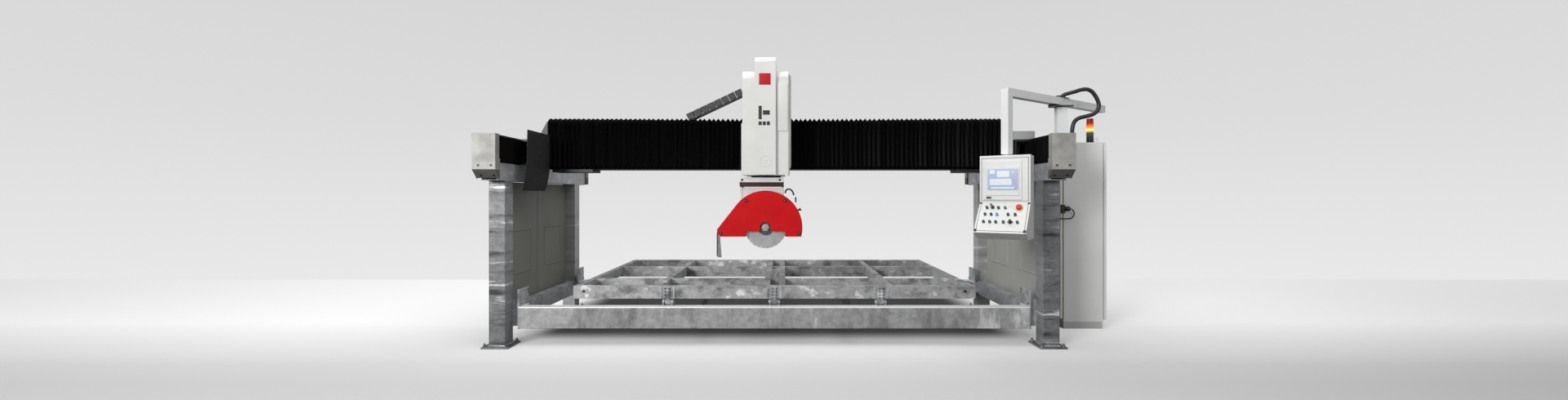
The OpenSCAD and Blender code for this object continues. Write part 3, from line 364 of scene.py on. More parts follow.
def within(tree, place, axis, low, high):
    """1 between two places along an axis, else 0."""
    parts = tree.nodes.new("ShaderNodeSeparateXYZ")
    tree.links.new(place, parts.inputs["Vector"])
    both = tree.nodes.new("ShaderNodeMath")
    both.operation = "MULTIPLY"
    for side, (test, limit) in enumerate((("GREATER_THAN", low), ("LESS_THAN", high))):
        step = tree.nodes.new("ShaderNodeMath")
        step.operation = test
        step.inputs[1].default_value = limit
        tree.links.new(parts.outputs[axis], step.inputs[0])
        tree.links.new(step.outputs["Value"], both.inputs[side])
    return both.outputs["Value"]


def galvanised(name, streaks, turn, tones, painted_top_highlight=None, painted_rear_light=None):
    """Hot-dip zinc: pale streaks over small spangles, with painted light on faces turned to the sides, an
    optional painted highlight in a band of height, and optional painted light towards the rear.
    """
    finish, tree, shader, place = new_finish(name, metal=0.35)
    mapping = tree.nodes.new("ShaderNodeMapping")
    mapping.inputs["Rotation"].default_value = (0, turn, 0)
    mapping.inputs["Scale"].default_value = streaks
    tree.links.new(place, mapping.inputs["Vector"])
    streak = noise(tree, mapping.outputs["Vector"], 1.0, 7, 0.62)
    dark, middle, pale = tones
    colour = ramp(tree, streak, [(0.36, dark), (0.49, middle), (0.58, middle), (0.67, pale)])
    cloud = ramp(tree, noise(tree, place, 14, 6, 0.7), [(0.3, (0.24,) * 3), (0.7, (0.76,) * 3)])
    colour = blended(tree, 0.6, colour, cloud, "OVERLAY")
    spangle = tree.nodes.new("ShaderNodeTexVoronoi")
    spangle.inputs["Scale"].default_value = 110
    tree.links.new(place, spangle.inputs["Vector"])
    grains = ramp(tree, spangle.outputs["Color"], [(0.0, (0.40,) * 3), (1.0, (0.60,) * 3)])
    colour = blended(tree, 0.5, colour, grains, "OVERLAY")
    # Painted highlight: an optional band of height is turned pale zinc.
    if painted_top_highlight:
        colour = blended(tree, within(tree, place, "Z", *painted_top_highlight), colour, (0.90, 0.90, 0.89))
    # Painted light: pieces in an optional band towards the rear are blended 30 % towards pale zinc.
    if painted_rear_light:
        rear = span(tree, within(tree, place, "Y", *painted_rear_light), 0.0, 0.3)
        colour = blended(tree, rear, colour, (0.90, 0.90, 0.88))
    # Painted light: faces turned to the sides are blended up to 22 % towards pale zinc, by the square of the
    # normal's X.
    facing = tree.nodes.new("ShaderNodeSeparateXYZ")
    tree.links.new(tree.nodes.new("ShaderNodeNewGeometry").outputs["Normal"], facing.inputs["Vector"])
    side_face_light = tree.nodes.new("ShaderNodeMath")
    side_face_light.operation = "MULTIPLY"
    for socket in side_face_light.inputs[:2]:
        tree.links.new(facing.outputs["X"], socket)
    colour = blended(tree, span(tree, side_face_light.outputs[0], 0.0, 0.22), colour, (0.86, 0.88, 0.88))
    tree.links.new(colour, shader.inputs["Base Color"])
    tree.links.new(span(tree, streak, 0.62, 0.30), shader.inputs["Roughness"])
    relief(tree, shader, noise(tree, place, 35, 4), 0.002, 0.35)
    return finish


def dress(names, finish, edge=0.0):
    """A finish on CAD pieces, with their sharp edges broken."""
    for name in names.split():
        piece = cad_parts[name]
        piece.data.materials.clear()
        piece.data.materials.append(finish)
        if edge:
            piece.modifiers.new("joined", "WELD")
            rounding = piece.modifiers.new("edge", "BEVEL")
            rounding.width = edge
            rounding.segments = 2
            rounding.limit_method = "ANGLE"
            rounding.angle_limit = math.radians(35)


def add_box(bm, low, high, turn=Matrix.Identity(4)):
    """A box from its lowest corner to its highest, in millimetres."""
    low, high = steel_point(*low), steel_point(*high)
    size = Matrix.Diagonal((*(high - low), 1))
    bmesh.ops.create_cube(bm, size=1, matrix=turn @ Matrix.Translation((low + high) / 2) @ size)


def add_rod(bm, start, end, r, sides=24, turn=Matrix.Identity(4), r_end=None):
    """A rod or cone between two points, in millimetres; six sides make a bolt head."""
    start, end = steel_point(*start), steel_point(*end)
    along = end - start
    bmesh.ops.create_cone(
        bm, cap_ends=True, segments=sides, radius1=r / 1000, radius2=(r if r_end is None else r_end) / 1000,
        depth=along.length,
        matrix=(turn @ Matrix.Translation((start + end) / 2)
                @ along.to_track_quat("Z", "Y").to_matrix().to_4x4()))


def made(name, bm, edge=0.0):
    """The built shape as a mesh, smooth except at its sharp edges."""
    if edge:
        bmesh.ops.bevel(bm, geom=[e for e in bm.edges if e.is_manifold and e.calc_face_angle() > 0.6],
                        offset=edge, segments=2, affect="EDGES", profile=0.7)
    bmesh.ops.recalc_face_normals(bm, faces=bm.faces)
    for face in bm.faces:
        face.smooth = True
    mesh = bpy.data.meshes.new(name)
    bm.to_mesh(mesh)
    bm.free()
    mesh.set_sharp_from_angle(angle=math.radians(35))
    return mesh


# The rear posts, from y 0.7 to 1.0 m, get painted light that lifts their shade.
post_zinc = galvanised("post_zinc", (1.2, 1.2, 11), 0.0,
                       ((0.045, 0.047, 0.05), (0.20, 0.205, 0.21), (0.90, 0.91, 0.92)),
                       painted_rear_light=(0.7, 1.0))
# The crossbeams carry a painted highlight along their top edge, from z 353 to 361 mm.
beam_zinc = galvanised("beam_zinc", (3.2, 3.2, 0.9), 0.55,
                       ((0.22, 0.222, 0.22), (0.40, 0.405, 0.40), (0.85, 0.86, 0.85)),
                       painted_top_highlight=(0.353, 0.361))
plate_zinc = galvanised("plate_zinc", (6, 6, 6), 0.0,
                        ((0.24, 0.26, 0.28), (0.42, 0.44, 0.46), (0.70, 0.72, 0.73)))
dress("posts", post_zinc, 0.006)
dress("crossbeams", beam_zinc, 0.005)
dress("runway_beams side_beams beam_brackets", plate_zinc, 0.004)

bolt_steel, *_ = mottled("bolt_steel", 80, (0.20, 0.20, 0.20), (0.42, 0.42, 0.41), rough=0.35, metal=0.9)
dark_bolt, *_ = mottled("dark_bolt", 80, (0.015, 0.015, 0.015), (0.05, 0.05, 0.05), rough=0.45, metal=0.5)
dress("frame_bolts", dark_bolt)

post_x, post_ys = 2547, (-850, 850)
anchors = bmesh.new()
for side in (-1, 1):
    for y in post_ys:
        for dx in (-100, 100):
            for dy in (-100, 100):
                x = side * post_x + dx
                add_rod(anchors, (x, y + dy, 15), (x, y + dy, 18), 20)
                add_rod(anchors, (x, y + dy, 18), (x, y + dy, 30), 14, sides=6)
                add_rod(anchors, (x, y + dy, 30), (x, y + dy, 46), 8)
add_piece("anchor_bolts", made("anchor_bolts", anchors), bolt_steel, "frame")

plate_bolts = bmesh.new()
for side in (-1, 1):
    for y in post_ys:
        toward = 1 if y < 0 else -1
        for z in (185, 225, 265, 305, 345, 385):
            add_rod(plate_bolts, (side * 2385, y + toward * 36, z), (side * 2374, y + toward * 36, z), 10,
                    sides=6)
        for z in (470, 500):
            add_rod(plate_bolts, (side * 2385, y + toward * 190, z), (side * 2376, y + toward * 190, z), 9,
                    sides=6)
add_piece("joint_plate_bolts", made("joint_plate_bolts", plate_bolts), bolt_steel, "frame")

foot_welds = bmesh.new()
for side in (-1, 1):
    for y in post_ys:
        ring = [(side * post_x + dx, y + dy, 17) for dx, dy in ((-77, -77), (77, -77), (77, 77), (-77, 77))]
        for a, b in zip(ring, ring[1:] + ring[:1]):
            add_rod(foot_welds, a, b, 5, sides=8)
add_piece("foot_welds", made("foot_welds", foot_welds), plate_zinc, "frame")

# ---- Runway caps, racks, table hinges and side panels ----
# Cloudy stainless caps close the runways' ends. Racks run along the beams. Folded sheet panels with
# a pressed rectangular bead close the sides, and hinge posts on the front crossbeam carry the table.

cap_steel, tree, shader, place = new_finish("cap_steel", metal=0.35)
cloudy = noise(tree, place, 7, 3, 0.5)
sheet = ramp(tree, cloudy, [(0.35, (0.30, 0.295, 0.28)), (0.65, (0.44, 0.432, 0.41))])
# Painted shade: below z 1630.5 mm the caps' down-facing chamfer is painted a darker steel.
tree.links.new(blended(tree, within(tree, place, "Z", 1.0, 1.6305), sheet, (0.16, 0.157, 0.145)),
               shader.inputs["Base Color"])
tree.links.new(span(tree, noise(tree, stretched(tree, place, (3, 3, 260)), 1, 4), 0.50, 0.70),
               shader.inputs["Roughness"])
dress("runway_end_caps", cap_steel, 0.003)
rail_steel, tree, shader, place = new_finish("rail_steel", rough=0.32, metal=0.85)
tree.links.new(ramp(tree, noise(tree, stretched(tree, place, (60, 3, 60)), 1), [
    (0.35, (0.20, 0.205, 0.21)), (0.65, (0.36, 0.37, 0.38))]), shader.inputs["Base Color"])
dress("runway_racks drive_pinion_left drive_pinion_right bridge_rails", rail_steel)
dress("table_pivots", plate_zinc, 0.002)

panel_coat, tree, shader, place = new_finish("panel_coat", rough=0.55)
# Painted shade: the left side panel is painted a darker grey than the right one.
shaded_left_panel = within(tree, place, "X", -9, 0)
grain = ramp(tree, noise(tree, place, 3, 5), [(0.3, (0.44,) * 3), (0.7, (0.56,) * 3)])
plain = blended(tree, shaded_left_panel, (0.40, 0.40, 0.375), (0.225, 0.225, 0.20))
tree.links.new(blended(tree, 0.5, plain, grain, "OVERLAY"), shader.inputs["Base Color"])
relief(tree, shader, noise(tree, place, 420), 0.0003, 0.6)
relief(tree, shader, noise(tree, place, 2.2, 2), 0.012, 0.5)
dress("side_panels", panel_coat, 0.003)

hinge_xs = (-1010, 0, 1010)
hinge_bolts = bmesh.new()
for x in hinge_xs:
    for dx in (-42, 42):
        add_rod(hinge_bolts, (x + dx, -779.5, 375), (x + dx, -787, 375), 9, sides=6)
add_piece("hinge_bolts", made("hinge_bolts", hinge_bolts), bolt_steel, "frame")

# ---- Tilting table ----
# A galvanised grid of rails and cross members rests flat. It hinges at the front on three pins, and
# two hydraulic cylinders push it up. Short bolted plates tie its front rail to the hinges.

table_zinc = galvanised("table_zinc", (5, 5, 7), 0.3,
                        ((0.17, 0.172, 0.175), (0.40, 0.402, 0.405), (0.86, 0.87, 0.87)))
dress("table_rails table_cross_members", table_zinc, 0.003)
barrel_paint, *_ = mottled("barrel_paint", 12, (0.018, 0.018, 0.020), (0.034, 0.034, 0.036), rough=0.4)
dress("lift_barrels", barrel_paint, 0.002)
chrome, *_ = mottled("chrome_rod", 40, (0.58, 0.59, 0.60), (0.74, 0.75, 0.76), rough=0.14, metal=1.0)
dress("lift_rods lift_screw", chrome)

strap_bolts = bmesh.new()
for x in hinge_xs:
    for dx in (-18, 18):
        for z in (432, 462, 492, 522):
            add_rod(strap_bolts, (x + dx, -792, z), (x + dx, -799, z), 7, sides=6)
for x in (-1800, 1800):
    add_rod(strap_bolts, (x, -782, 495), (x, -787, 495), 12)
add_piece("table_strap_bolts", made("table_strap_bolts", strap_bolts), dark_bolt, "table")

strap_plates = bmesh.new()
for x in hinge_xs:
    for dx in (-62, 62):
        add_box(strap_plates, (x + dx - 9, -790, 428), (x + dx + 9, -782, 540))
add_piece("table_strap_plates", made("table_strap_plates", strap_plates, 0.0015), plate_zinc, "table")

# ---- Bridge with its bellows, flap and drives ----
# A painted box beam runs on a trolley over each runway. Black pleated bellows cover its front, top and
# bottom and both runways. A curved rubber flap screens the left trolley.

def add_pleats(bm, outline, stations, sheet, place_at):
    """A folded channel: an open outline of (a, b, fold depth) points carried along the stations."""
    rings = []
    for i, station in enumerate(stations):
        ring = []
        for inset in (0, sheet):
            row = []
            for k, (a, b, depth) in enumerate(outline):
                before = outline[max(k - 1, 0)]
                after = outline[min(k + 1, len(outline) - 1)]
                across = Vector((after[1] - before[1], before[0] - after[0])).normalized()
                move = inset + (depth if i % 2 else 0)
                row.append(bm.verts.new(place_at(station, a - across.x * move, b - across.y * move)))
            ring.append(row)
        rings.append(ring)
    last = len(outline) - 1
    for (out_a, in_a), (out_b, in_b) in zip(rings, rings[1:]):
        for k in range(last):
            bm.faces.new((out_a[k], out_a[k + 1], out_b[k + 1], out_b[k]))
            bm.faces.new((in_a[k], in_b[k], in_b[k + 1], in_a[k + 1]))
        for k in (0, last):
            bm.faces.new((out_a[k], out_b[k], in_b[k], in_a[k]))
    for out, inner in (rings[0], rings[-1]):
        for k in range(last):
            bm.faces.new((out[k], out[k + 1], inner[k + 1], inner[k]))


def pleat_stations(start, end, pitch):
    """Fold lines from start to end, each a little off an even pitch."""
    count = 2 * round(abs(end - start) / pitch)
    step = (end - start) / count
    return [start + step * (i + (random.uniform(-0.16, 0.16) if 0 < i < count else 0))
            for i in range(count + 1)]


def folded(name, bm, joined, axis, start, end, node):
    """A bellows that stretches evenly between the two bodies it joins."""
    bmesh.ops.recalc_face_normals(bm, faces=bm.faces)
    mesh = bpy.data.meshes.new(name)
    bm.to_mesh(mesh)
    bm.free()
    piece = bpy.data.objects.new(name, mesh)
    bpy.context.scene.collection.objects.link(piece)
    mesh.materials.append(bellows_cloth)
    first, last = Vector((0, 0, 0)), Vector((0, 0, 0))
    first[axis], last[axis] = start / 1000, end / 1000
    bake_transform(piece, *joined, first, last)
    for vertex, weight in zip(mesh.vertices, mesh.attributes["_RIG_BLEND"].data):
        weight.value = min(1, max(0, (vertex.co[axis] - first[axis]) / (last[axis] - first[axis])))
    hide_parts(node)


random.seed(4)
bellows_cloth, tree, shader, place = new_finish("bellows_cloth", rough=0.5)
tree.links.new(ramp(tree, noise(tree, place, 30, 5), [
    (0.3, (0.0008, 0.0008, 0.0009)), (0.75, (0.0022, 0.0022, 0.0024))]), shader.inputs["Base Color"])
shader.inputs["Specular IOR Level"].default_value = 0.06
relief(tree, shader, noise(tree, place, 1400), 0.0001, 0.5)

bridge_outline = [(-20, 1674, 0), (-280, 1674, 2), (-303, 1675, 3), (-306, 1700, 18), (-306, 2140, 26),
                  (-300, 2160, 30), (-280, 2166, 30), (-20, 2166, 30)]
for name, node, start, end in (
        ("bridge_pleats_left", "bridge_bellows_left", -2345, -321.5),
        ("bridge_pleats_right", "bridge_bellows_right", 2345, 145.5)):
    bm = bmesh.new()
    add_pleats(bm, bridge_outline, pleat_stations(start, end, 48), 3, steel_point)
    folded(name, bm, ("bridge", "carriage"), 0, start, end, node)

for name, node, start, end in (
        ("runway_pleats_front", "runway_bellows_front", -1053, -618.5),
        ("runway_pleats_rear", "runway_bellows_rear", 1131, 25.5)):
    bm = bmesh.new()
    for side in (-1, 1):
        middle = side * 2561
        outline = [(middle - 99, 1699, 14), (middle - 99, 1932, 14), (middle - 81, 1950, 14),
                   (middle + 81, 1950, 14), (middle + 99, 1932, 14), (middle + 99, 1699, 14)]
        add_pleats(bm, list(reversed(outline)), pleat_stations(start, end, 34), 3,
                   lambda station, a, b: steel_point(a, station, b))
    folded(name, bm, ("frame", "bridge"), 1, start, end, node)

black_coat, *_ = mottled("black_coat", 6, (0.006, 0.006, 0.007), (0.016, 0.016, 0.017), rough=0.45)
dress("slew_ring bridge_beam", black_coat, 0.003)
trolley_coat, tree, shader, place = new_finish("trolley_coat", rough=0.45)
dark = ramp(tree, noise(tree, place, 6), [(0.3, (0.006, 0.006, 0.007)), (0.7, (0.016, 0.016, 0.017))])
tree.links.new(blended(tree, within(tree, place, "Z", 1.950, 2.2), dark, (0.36, 0.365, 0.365)),
               shader.inputs["Base Color"])
dress("bridge_trolleys", trolley_coat, 0.003)
motor_grey, *_ = mottled("motor_grey", 20, (0.05, 0.055, 0.06), (0.09, 0.095, 0.10), rough=0.45)
dress("travel_motors lift_motor", motor_grey, 0.002)

flap_rubber, tree, shader, place = new_finish("flap_rubber", rough=0.75)
tree.links.new(ramp(tree, noise(tree, place, 26, 7, 0.7), [
    (0.3, (0.008, 0.008, 0.008)), (0.7, (0.024, 0.024, 0.0235))]), shader.inputs["Base Color"])
relief(tree, shader, noise(tree, place, 160, 3), 0.0012, 0.7)
flap = bmesh.new()
flap_line = smooth_route([Vector((x, 0, z)) for x, z in (
    (-2318, 2020), (-2320, 1930), (-2322, 1820), (-2325, 1700), (-2333, 1620), (-2346, 1540),
    (-2372, 1446))], 24)
rows = [[[flap.verts.new(steel_point(p.x + dx, y, p.z)) for y in (-811, -640, -470, -307)]
         for dx in (-3, 3)] for p in flap_line]
for (a_out, a_in), (b_out, b_in) in zip(rows, rows[1:]):
    for k in range(3):
        flap.faces.new((a_out[k], a_out[k + 1], b_out[k + 1], b_out[k]))
        flap.faces.new((a_in[k], b_in[k], b_in[k + 1], a_in[k + 1]))
    for k in (0, 3):
        flap.faces.new((a_out[k], b_out[k], b_in[k], a_in[k]))
for out, inner in (rows[0], rows[-1]):
    for k in range(3):
        flap.faces.new((out[k], out[k + 1], inner[k + 1], inner[k]))
add_piece("trolley_flap", made("trolley_flap", flap), flap_rubber, "bridge",
          ["rubber_flap"])

# ---- Carriage, covers and lift ----
# The carriage plate slides on the bridge's rails behind a white two-part sheet cover. Inside it the
# square ram rises and falls on a screw driven by the lift motor. A cable chain runs off to the left.

carriage_coat, *_ = mottled("carriage_coat", 8, (0.08, 0.085, 0.09), (0.12, 0.125, 0.13), rough=0.5)
dress("carriage_plate", carriage_coat, 0.003)
dress("ram_column", rail_steel, 0.003)

cover_white, tree, shader, place = mottled("cover_white", 5, (0.66, 0.66, 0.635),
                                           (0.71, 0.71, 0.685), rough=0.32)
relief(tree, shader, noise(tree, place, 3, 2), 0.006, 0.35)
shader.inputs["Coat Weight"].default_value = 0.3
dress("head_cover column_cover", cover_white, 0.006)

shoulder = bmesh.new()
add_box(shoulder, (24, -697, 2022), (126, -689, 2478))
for x0, x1 in ((-321, -309.5), (133.5, 145)):
    add_box(shoulder, (x0, -676, 1606), (x1, -350, 2096))
add_piece("cover_plates", made("cover_plates", shoulder, 0.004), cover_white, "carriage")


def add_ring(bm, centre, r_in, r_out, thick, turn, sides=32):
    """A flat ring standing on a face, in millimetres."""
    corners = ((r_in, 0), (r_out, 0), (r_out, thick), (r_in, thick))
    rings = []
    for k in range(sides):
        a = 2 * math.pi * k / sides
        rings.append([bm.verts.new(turn @ steel_point(
            centre[0] + r * math.cos(a), centre[1] + r * math.sin(a), centre[2] + h)) for r, h in corners])
    for here, there in zip(rings, rings[1:] + rings[:1]):
        for k in range(4):
            bm.faces.new((here[k], here[(k + 1) % 4], there[(k + 1) % 4], there[k]))


cover_front = Matrix.Translation(steel_point(0, -725, 0)) @ Matrix.Rotation(math.pi / 2, 4, "X")
emboss = bmesh.new()
add_ring(emboss, (-88, 1733, -1), 48, 58, 3.5, cover_front)
add_ring(emboss, (-88, 1733, -1), 6, 20, 3.5, cover_front)
add_piece("cover_emboss", made("cover_emboss", emboss), cover_white, "carriage")

badge_red, *_ = mottled("badge_red", 10, (0.42, 0.004, 0.008), (0.50, 0.006, 0.011), rough=0.3)
badge = bmesh.new()
add_box(badge, (-148, -730, 2459), (-38, -724, 2568))
add_piece("cover_badge", made("cover_badge", badge, 0.0022), badge_red, "carriage")

print_black, *_ = mottled("print_black", 30, (0.012, 0.012, 0.012), (0.022, 0.022, 0.022), rough=0.5)
marks = bmesh.new()
for low, high in (((-152, 2129), (-122, 2257)), ((-112, 2172), (-45, 2214)), ((-152, 2072), (-122, 2108)),
                  ((-113, 2072), (-83, 2108)), ((-74, 2072), (-44, 2108))):
    add_box(marks, (low[0], -726.5, low[1]), (high[0], -724, high[1]))
add_piece("cover_marks", made("cover_marks", marks), print_black, "carriage")

chain_plastic, *_ = mottled("chain_plastic", 25, (0.022, 0.022, 0.024), (0.050, 0.050, 0.052), rough=0.5)
dress("cable_chain_boom", chain_plastic, 0.004)
links, run, drop = 8, 575, 272
boom = Matrix.Translation(steel_point(-344, -190, 2488)) @ Matrix.Rotation(-math.atan2(drop, run), 4, "Y")
chain_pins = bmesh.new()
step = math.hypot(run, drop) / links
for i in range(1, links + 1):
    add_rod(chain_pins, (-step * i + 8, -44, -28), (-step * i + 8, -40, -28), 8, turn=boom)
add_piece("chain_pins", made("chain_pins", chain_pins), chrome, "carriage")

# ---- Turning fork and cutting head ----
# A fork turns under the ram and carries the spindle motor on two trunnions. The red guard bolts to the
# motor's front, over the blade, with a water hose and its valve on the right and splash strips on the left.

head_coat, tree, shader, place = new_finish("head_coat", rough=0.4, metal=0.2)
plain = ramp(tree, noise(tree, place, 9), [(0.3, (0.66, 0.68, 0.67)), (0.7, (0.76, 0.78, 0.77))])
# Painted shade: the band from z 1484.5 to 1528.8 mm, under the fork's front plate, is painted dark grey.
painted_fork_shade = blended(tree, within(tree, place, "Z", 1.4845, 1.5288), plain, (0.11, 0.10, 0.10))
tree.links.new(blended(tree, within(tree, place, "Y", -0.664, -0.6554), painted_fork_shade, (0.03, 0.03, 0.03)),
               shader.inputs["Base Color"])
relief(tree, shader, noise(tree, place, 90), 0.0006, 0.4)
dress("turret_fork spindle_motor", head_coat, 0.003)

guard_coat, tree, shader, place = mottled("guard_coat", 6, (0.52, 0.003, 0.005),
                                          (0.60, 0.005, 0.008), rough=0.28)
relief(tree, shader, noise(tree, place, 5, 2), 0.004, 0.3)
shader.inputs["Specular IOR Level"].default_value = 0.3
dress("blade_guard", guard_coat, 0.004)
dress("guard_bolts valve_handle", dark_bolt, 0.001)

brass, *_ = mottled("bolt_brass", 60, (0.45, 0.36, 0.18), (0.62, 0.52, 0.30), rough=0.35, metal=0.8)
blade_x, blade_z = -88, 1091
bolt_centres = bmesh.new()
for dx, dz in ((-186, 260), (187, 262), (-430, -52), (322, -52)):
    add_rod(bolt_centres, (blade_x + dx, -706, blade_z + dz), (blade_x + dx, -710, blade_z + dz), 5)
add_piece("guard_bolt_centres", made("guard_bolt_centres", bolt_centres), brass, "cutting_head")

knob = bmesh.new()
add_rod(knob, (220, -665, 1256), (240, -665, 1264), 9)
add_rod(knob, (240, -665, 1264), (254, -665, 1269), 14)
add_piece("guard_knob", made("guard_knob", knob, 0.001), dark_bolt, "cutting_head")

saw_steel, *_ = mottled("saw_steel", 18, (0.56, 0.56, 0.56),
                        (0.74, 0.74, 0.73), rough=0.34, metal=0.7, detail=5)
rim = []
teeth = 28
for k in range(teeth):
    for share, r in ((0.0, 191), (0.03, 203), (0.30, 203), (0.60, 203), (0.90, 203), (0.93, 191)):
        angle = 2 * math.pi * (k + share) / teeth
        rim.append((r * math.cos(angle), r * math.sin(angle)))
saw = bmesh.new()
front, rear, inner_front, inner_rear = [], [], [], []
for x, z in rim:
    scale = 25.5 / math.hypot(x, z)
    front.append(saw.verts.new(steel_point(blade_x + x, -647, blade_z + z)))
    rear.append(saw.verts.new(steel_point(blade_x + x, -643, blade_z + z)))
    inner_front.append(saw.verts.new(steel_point(blade_x + x * scale, -647, blade_z + z * scale)))
    inner_rear.append(saw.verts.new(steel_point(blade_x + x * scale, -643, blade_z + z * scale)))
for k in range(len(rim)):
    n = (k + 1) % len(rim)
    saw.faces.new((front[k], front[n], rear[n], rear[k]))
    saw.faces.new((inner_front[k], inner_rear[k], inner_rear[n], inner_front[n]))
    saw.faces.new((front[k], inner_front[k], inner_front[n], front[n]))
    saw.faces.new((rear[k], rear[n], inner_rear[n], inner_rear[k]))
add_piece("saw_disc", made("saw_disc", saw), saw_steel, "blade", ["blade"])
flange_steel, tree, shader, place = new_finish("flange_steel", rough=0.3, metal=0.7)
nut = within(tree, place, "Y", -1, -0.6615)
plain = ramp(tree, noise(tree, place, 40), [(0.3, (0.13, 0.13, 0.13)), (0.7, (0.20, 0.20, 0.20))])
tree.links.new(blended(tree, nut, plain, (0.62, 0.61, 0.58)), shader.inputs["Base Color"])
dress("blade_flange", flange_steel, 0.0015)

strip_rubber, *_ = mottled("strip_rubber", 30, (0.16, 0.16, 0.16), (0.26, 0.26, 0.255), rough=0.6)
strips = bmesh.new()
bottom = [strips.verts.new(steel_point(x, y, 807)) for x, y in
          ((-547, -699), (-507, -699), (-507, -696), (-547, -696))]
upper = [strips.verts.new(steel_point(x, y, 1022)) for x, y in
         ((-541, -699), (-524, -699), (-524, -696), (-541, -696))]
for k in range(4):
    strips.faces.new((bottom[k], bottom[(k + 1) % 4], upper[(k + 1) % 4], upper[k]))
strips.faces.new(bottom)
strips.faces.new(upper)
add_box(strips, (-557, -690, 815), (-554, -600, 1040))
splash = add_piece("guard_splash_strips", made("guard_splash_strips", strips), strip_rubber, "cutting_head",
                   ["splash_strips"])
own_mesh(splash)

# ---- Console and its arm ----
# A square arm turns on the mast and drops to the console. The sheet box has a screen above and a
# sloping panel of buttons, a red stop, a selector and a joystick below.

arm_coat, tree, shader, place = new_finish("arm_coat", rough=0.4)
coat = ramp(tree, noise(tree, place, 4), [(0.3, (0.74, 0.76, 0.75)), (0.7, (0.81, 0.83, 0.82))])
bearing = blended(tree, within(tree, place, "X", 2.6, 2.9), (0, 0, 0),
                  within(tree, place, "Z", 2.2585, 2.2748))
tree.links.new(blended(tree, within(tree, place, "Z", 2.3455, 2.36),
                       blended(tree, bearing, coat, (0.015, 0.015, 0.015)), (0.015, 0.015, 0.015)),
               shader.inputs["Base Color"])
dress("console_arm console_mast", arm_coat, 0.003)
gland = bmesh.new()
add_rod(gland, (2782, -610, 2351.5), (2782, -610, 2362), 50, sides=32)
add_rod(gland, (2782, -610, 2361), (2782, -610, 2374), 44, sides=32, r_end=34)
add_piece("conduit_gland", made("conduit_gland", gland), rubber_finish, "frame")
console_coat, tree, shader, place = mottled("console_coat", 6, (0.62, 0.63, 0.61),
                                            (0.68, 0.69, 0.67), rough=0.42)
relief(tree, shader, noise(tree, place, 500), 0.0002, 0.5)
dress("console_housing console_screen", console_coat, 0.002)

mast_x, mast_y = 2790, -617
arm_reach, arm_swing = 887, math.radians(34.4)
console_frame = (Matrix.Translation(steel_point(mast_x - arm_reach * math.cos(arm_swing),
                                                mast_y - arm_reach * math.sin(arm_swing), 0))
                 @ Matrix.Rotation(math.radians(-33), 4, "Z"))
panel_drop, panel_out = 230, 245
panel_tilt = math.atan2(panel_drop, panel_out)
panel_frame = (console_frame @ Matrix.Translation(steel_point(0, -100, 1331))
               @ Matrix.Rotation(math.pi / 2 - panel_tilt, 4, "X"))
panel_len = math.hypot(panel_drop, panel_out)

gasket = bmesh.new()
for low, high in (((-194, 1352), (-190, 1728)), ((190, 1352), (194, 1728)), ((-194, 1724), (194, 1728)),
                  ((-194, 1352), (194, 1355))):
    add_box(gasket, (low[0], -101.5, low[1]), (high[0], -99, high[1]), console_frame)
for low, high in (((-194, -318), (-190, -10)), ((190, -318), (194, -10)), ((-194, -318), (194, -314))):
    add_box(gasket, (low[0], low[1], -1), (high[0], high[1], 1.5), panel_frame)
gasket_grey, *_ = mottled("gasket_grey", 50, (0.10, 0.10, 0.10), (0.17, 0.17, 0.17), rough=0.6)
add_piece("console_gasket", made("console_gasket", gasket), gasket_grey, "console")

latches = bmesh.new()
for x in (-196, 196):
    add_box(latches, (x - 9, -106, 1322), (x + 9, -99, 1340), console_frame)
    add_box(latches, (x - 10, -326, -1), (x + 10, -300, 6), panel_frame)
add_piece("console_latches", made("console_latches", latches, 0.0015), print_black, "console")

screen_glow, tree, shader, place = new_finish("screen_glow", rough=0.15)
shader.inputs["Base Color"].default_value = (0.02, 0.02, 0.02, 1)
tree.links.new(ramp(tree, noise(tree, place, 25), [(0.3, (0.30, 0.42, 0.62)), (0.7, (0.36, 0.48, 0.68))]),
               shader.inputs["Emission Color"])
shader.inputs["Emission Strength"].default_value = 0.9
screen = bmesh.new()
add_box(screen, (-138, -116, 1448), (112, -113.5, 1632), console_frame)
add_piece("screen_display", made("screen_display", screen), screen_glow, "console")

for name, colour, boxes in (
        ("screen_fields", (0.72, 0.76, 0.82), (((-120, 1590), (-80, 1622)), ((-60, 1560), (40, 1612)),
                                               ((-120, 1490), (60, 1545)), ((-110, 1458), (80, 1474)))),
        ("screen_column", (0.40, 0.36, 0.62), (((84, 1456), (108, 1626)),)),
        ("screen_marks", (0.60, 0.62, 0.12), (((64, 1590), (78, 1606)), ((66, 1610), (76, 1618))))):
    ink, tree, shader, place = new_finish(name, rough=0.2)
    shader.inputs["Base Color"].default_value = (0.02, 0.02, 0.02, 1)
    faded = tuple(0.85 * c for c in colour)
    tree.links.new(ramp(tree, noise(tree, place, 60), [(0.2, colour), (0.9, faded)]),
                   shader.inputs["Emission Color"])
    shader.inputs["Emission Strength"].default_value = 0.9
    fields = bmesh.new()
    for low, high in boxes:
        add_box(fields, (low[0], -117, low[1]), (high[0], -116, high[1]), console_frame)
    add_piece(name, made(name, fields), ink, "console")

plaque = bmesh.new()
add_box(plaque, (-150, -110, 1372), (-108, -107.5, 1390), console_frame)
add_piece("console_plaque", made("console_plaque", plaque), print_black, "console")


panel_wide = 417


def panel_spot(across, down):
    """Place of a control on the panel, in millimetres."""
    return (across - 0.5) * panel_wide, -down * panel_len


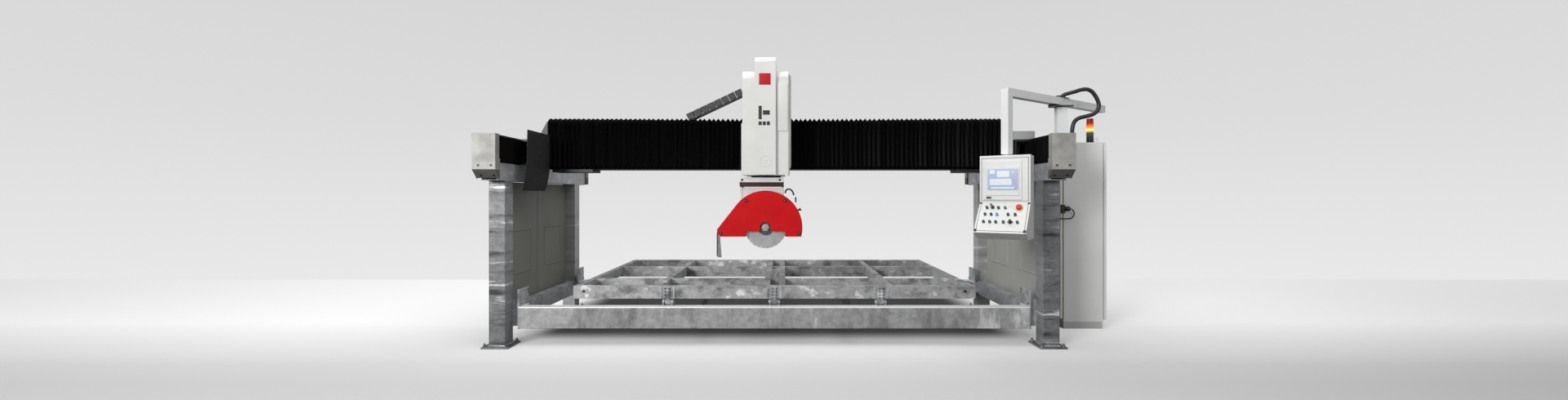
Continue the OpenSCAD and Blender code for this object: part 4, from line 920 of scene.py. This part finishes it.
black_spots = ((0.17, 0.165), (0.4, 0.165), (0.16, 0.39), (0.28, 0.39), (0.61, 0.39), (0.745, 0.39),
               (0.16, 0.645), (0.28, 0.645), (0.4, 0.645), (0.545, 0.645), (0.81, 0.645))
collars = bmesh.new()
for across, down in black_spots + ((0.53, 0.165), (0.395, 0.39)):
    add_ring(collars, (*panel_spot(across, down), 0), 13.8, 17.5, 3, panel_frame, 24)
add_piece("button_collars", made("button_collars", collars), chrome, "console")

stop_yellow, *_ = mottled("stop_yellow", 30, (0.70, 0.50, 0.16), (0.78, 0.58, 0.22), rough=0.45)
stop_plate = bmesh.new()
x, y = panel_spot(0.8, 0.165)
add_rod(stop_plate, (x, y, -1), (x, y, 0.8), 34, sides=36, turn=panel_frame)
add_piece("stop_plate", made("stop_plate", stop_plate), stop_yellow, "console")

black_tint = (0.012, 0.012, 0.012)
for names, tint in (("emergency_stop", (0.45, 0.008, 0.008)), ("green_button", (0.01, 0.10, 0.06)),
                    ("blue_button", (0.08, 0.22, 0.50)),
                    ("black_buttons selector_switch joystick", black_tint),
                    ("door_handle cabinet_plug", black_tint)):
    plastic, *_ = mottled(names.split()[0] + "_plastic", 50, tint, tuple(1.25 * c for c in tint),
                          rough=0.3)
    dress(names, plastic, 0.001)

# ---- Electrical cabinet and signal tower ----
# A light grey sheet cabinet stands right of the frame on its plinth, with black seals along its rear
# trunking, a door on the right, a plug on the front and a four-part signal tower on top.

cabinet_coat, tree, shader, place = new_finish("cabinet_coat", rough=0.5)
plain = ramp(tree, noise(tree, place, 3), [(0.3, (0.82, 0.82, 0.80)), (0.7, (0.87, 0.87, 0.85))])
sealed = blended(tree, within(tree, place, "X", 3.0190, 3.0299), plain, (0.012, 0.012, 0.012))
footed = blended(tree, within(tree, place, "Z", -1, 0.073), sealed, (0.56, 0.56, 0.54))
tree.links.new(blended(tree, within(tree, place, "Z", 1.9585, 3), footed, (0.80, 0.80, 0.80)),
               shader.inputs["Base Color"])
relief(tree, shader, noise(tree, place, 420), 0.0003, 0.5)
dress("cabinet_body cabinet_door", cabinet_coat, 0.003)
dress("cabinet_components", motor_grey, 0.002)

tower_lens, tree, shader, place = new_finish("tower_lens", rough=0.2)
colour = (0.010, 0.010, 0.010)
for low, high, tint in ((2.025, 2.079, (0.01, 0.12, 0.08)), (2.079, 2.133, (0.75, 0.20, 0.02)),
                        (2.133, 2.187, (0.36, 0.015, 0.01)), (2.187, 2.3, (0.12, 0.010, 0.008))):
    colour = blended(tree, within(tree, place, "Z", low, high), colour, tint)
tree.links.new(colour, shader.inputs["Base Color"])
parts = tree.nodes.new("ShaderNodeSeparateXYZ")
tree.links.new(place, parts.inputs["Vector"])
level = tree.nodes.new("ShaderNodeMapRange")
level.inputs["From Min"].default_value = 2.07
level.inputs["From Max"].default_value = 2.18
tree.links.new(parts.outputs["Z"], level.inputs["Value"])
tree.links.new(ramp(tree, level.outputs["Result"], [
    (0.0, (0, 0, 0)), (0.12, (0.55, 0.13, 0.01)), (0.28, (1.0, 0.75, 0.28)),
    (0.5, (0.9, 0.25, 0.02)), (0.9, (0.10, 0, 0))]), shader.inputs["Emission Color"])
shader.inputs["Emission Strength"].default_value = 1.4
relief(tree, shader, noise(tree, stretched(tree, place, (1, 1, 400)), 1), 0.001, 0.5)
dress("signal_tower", tower_lens, 0.001)
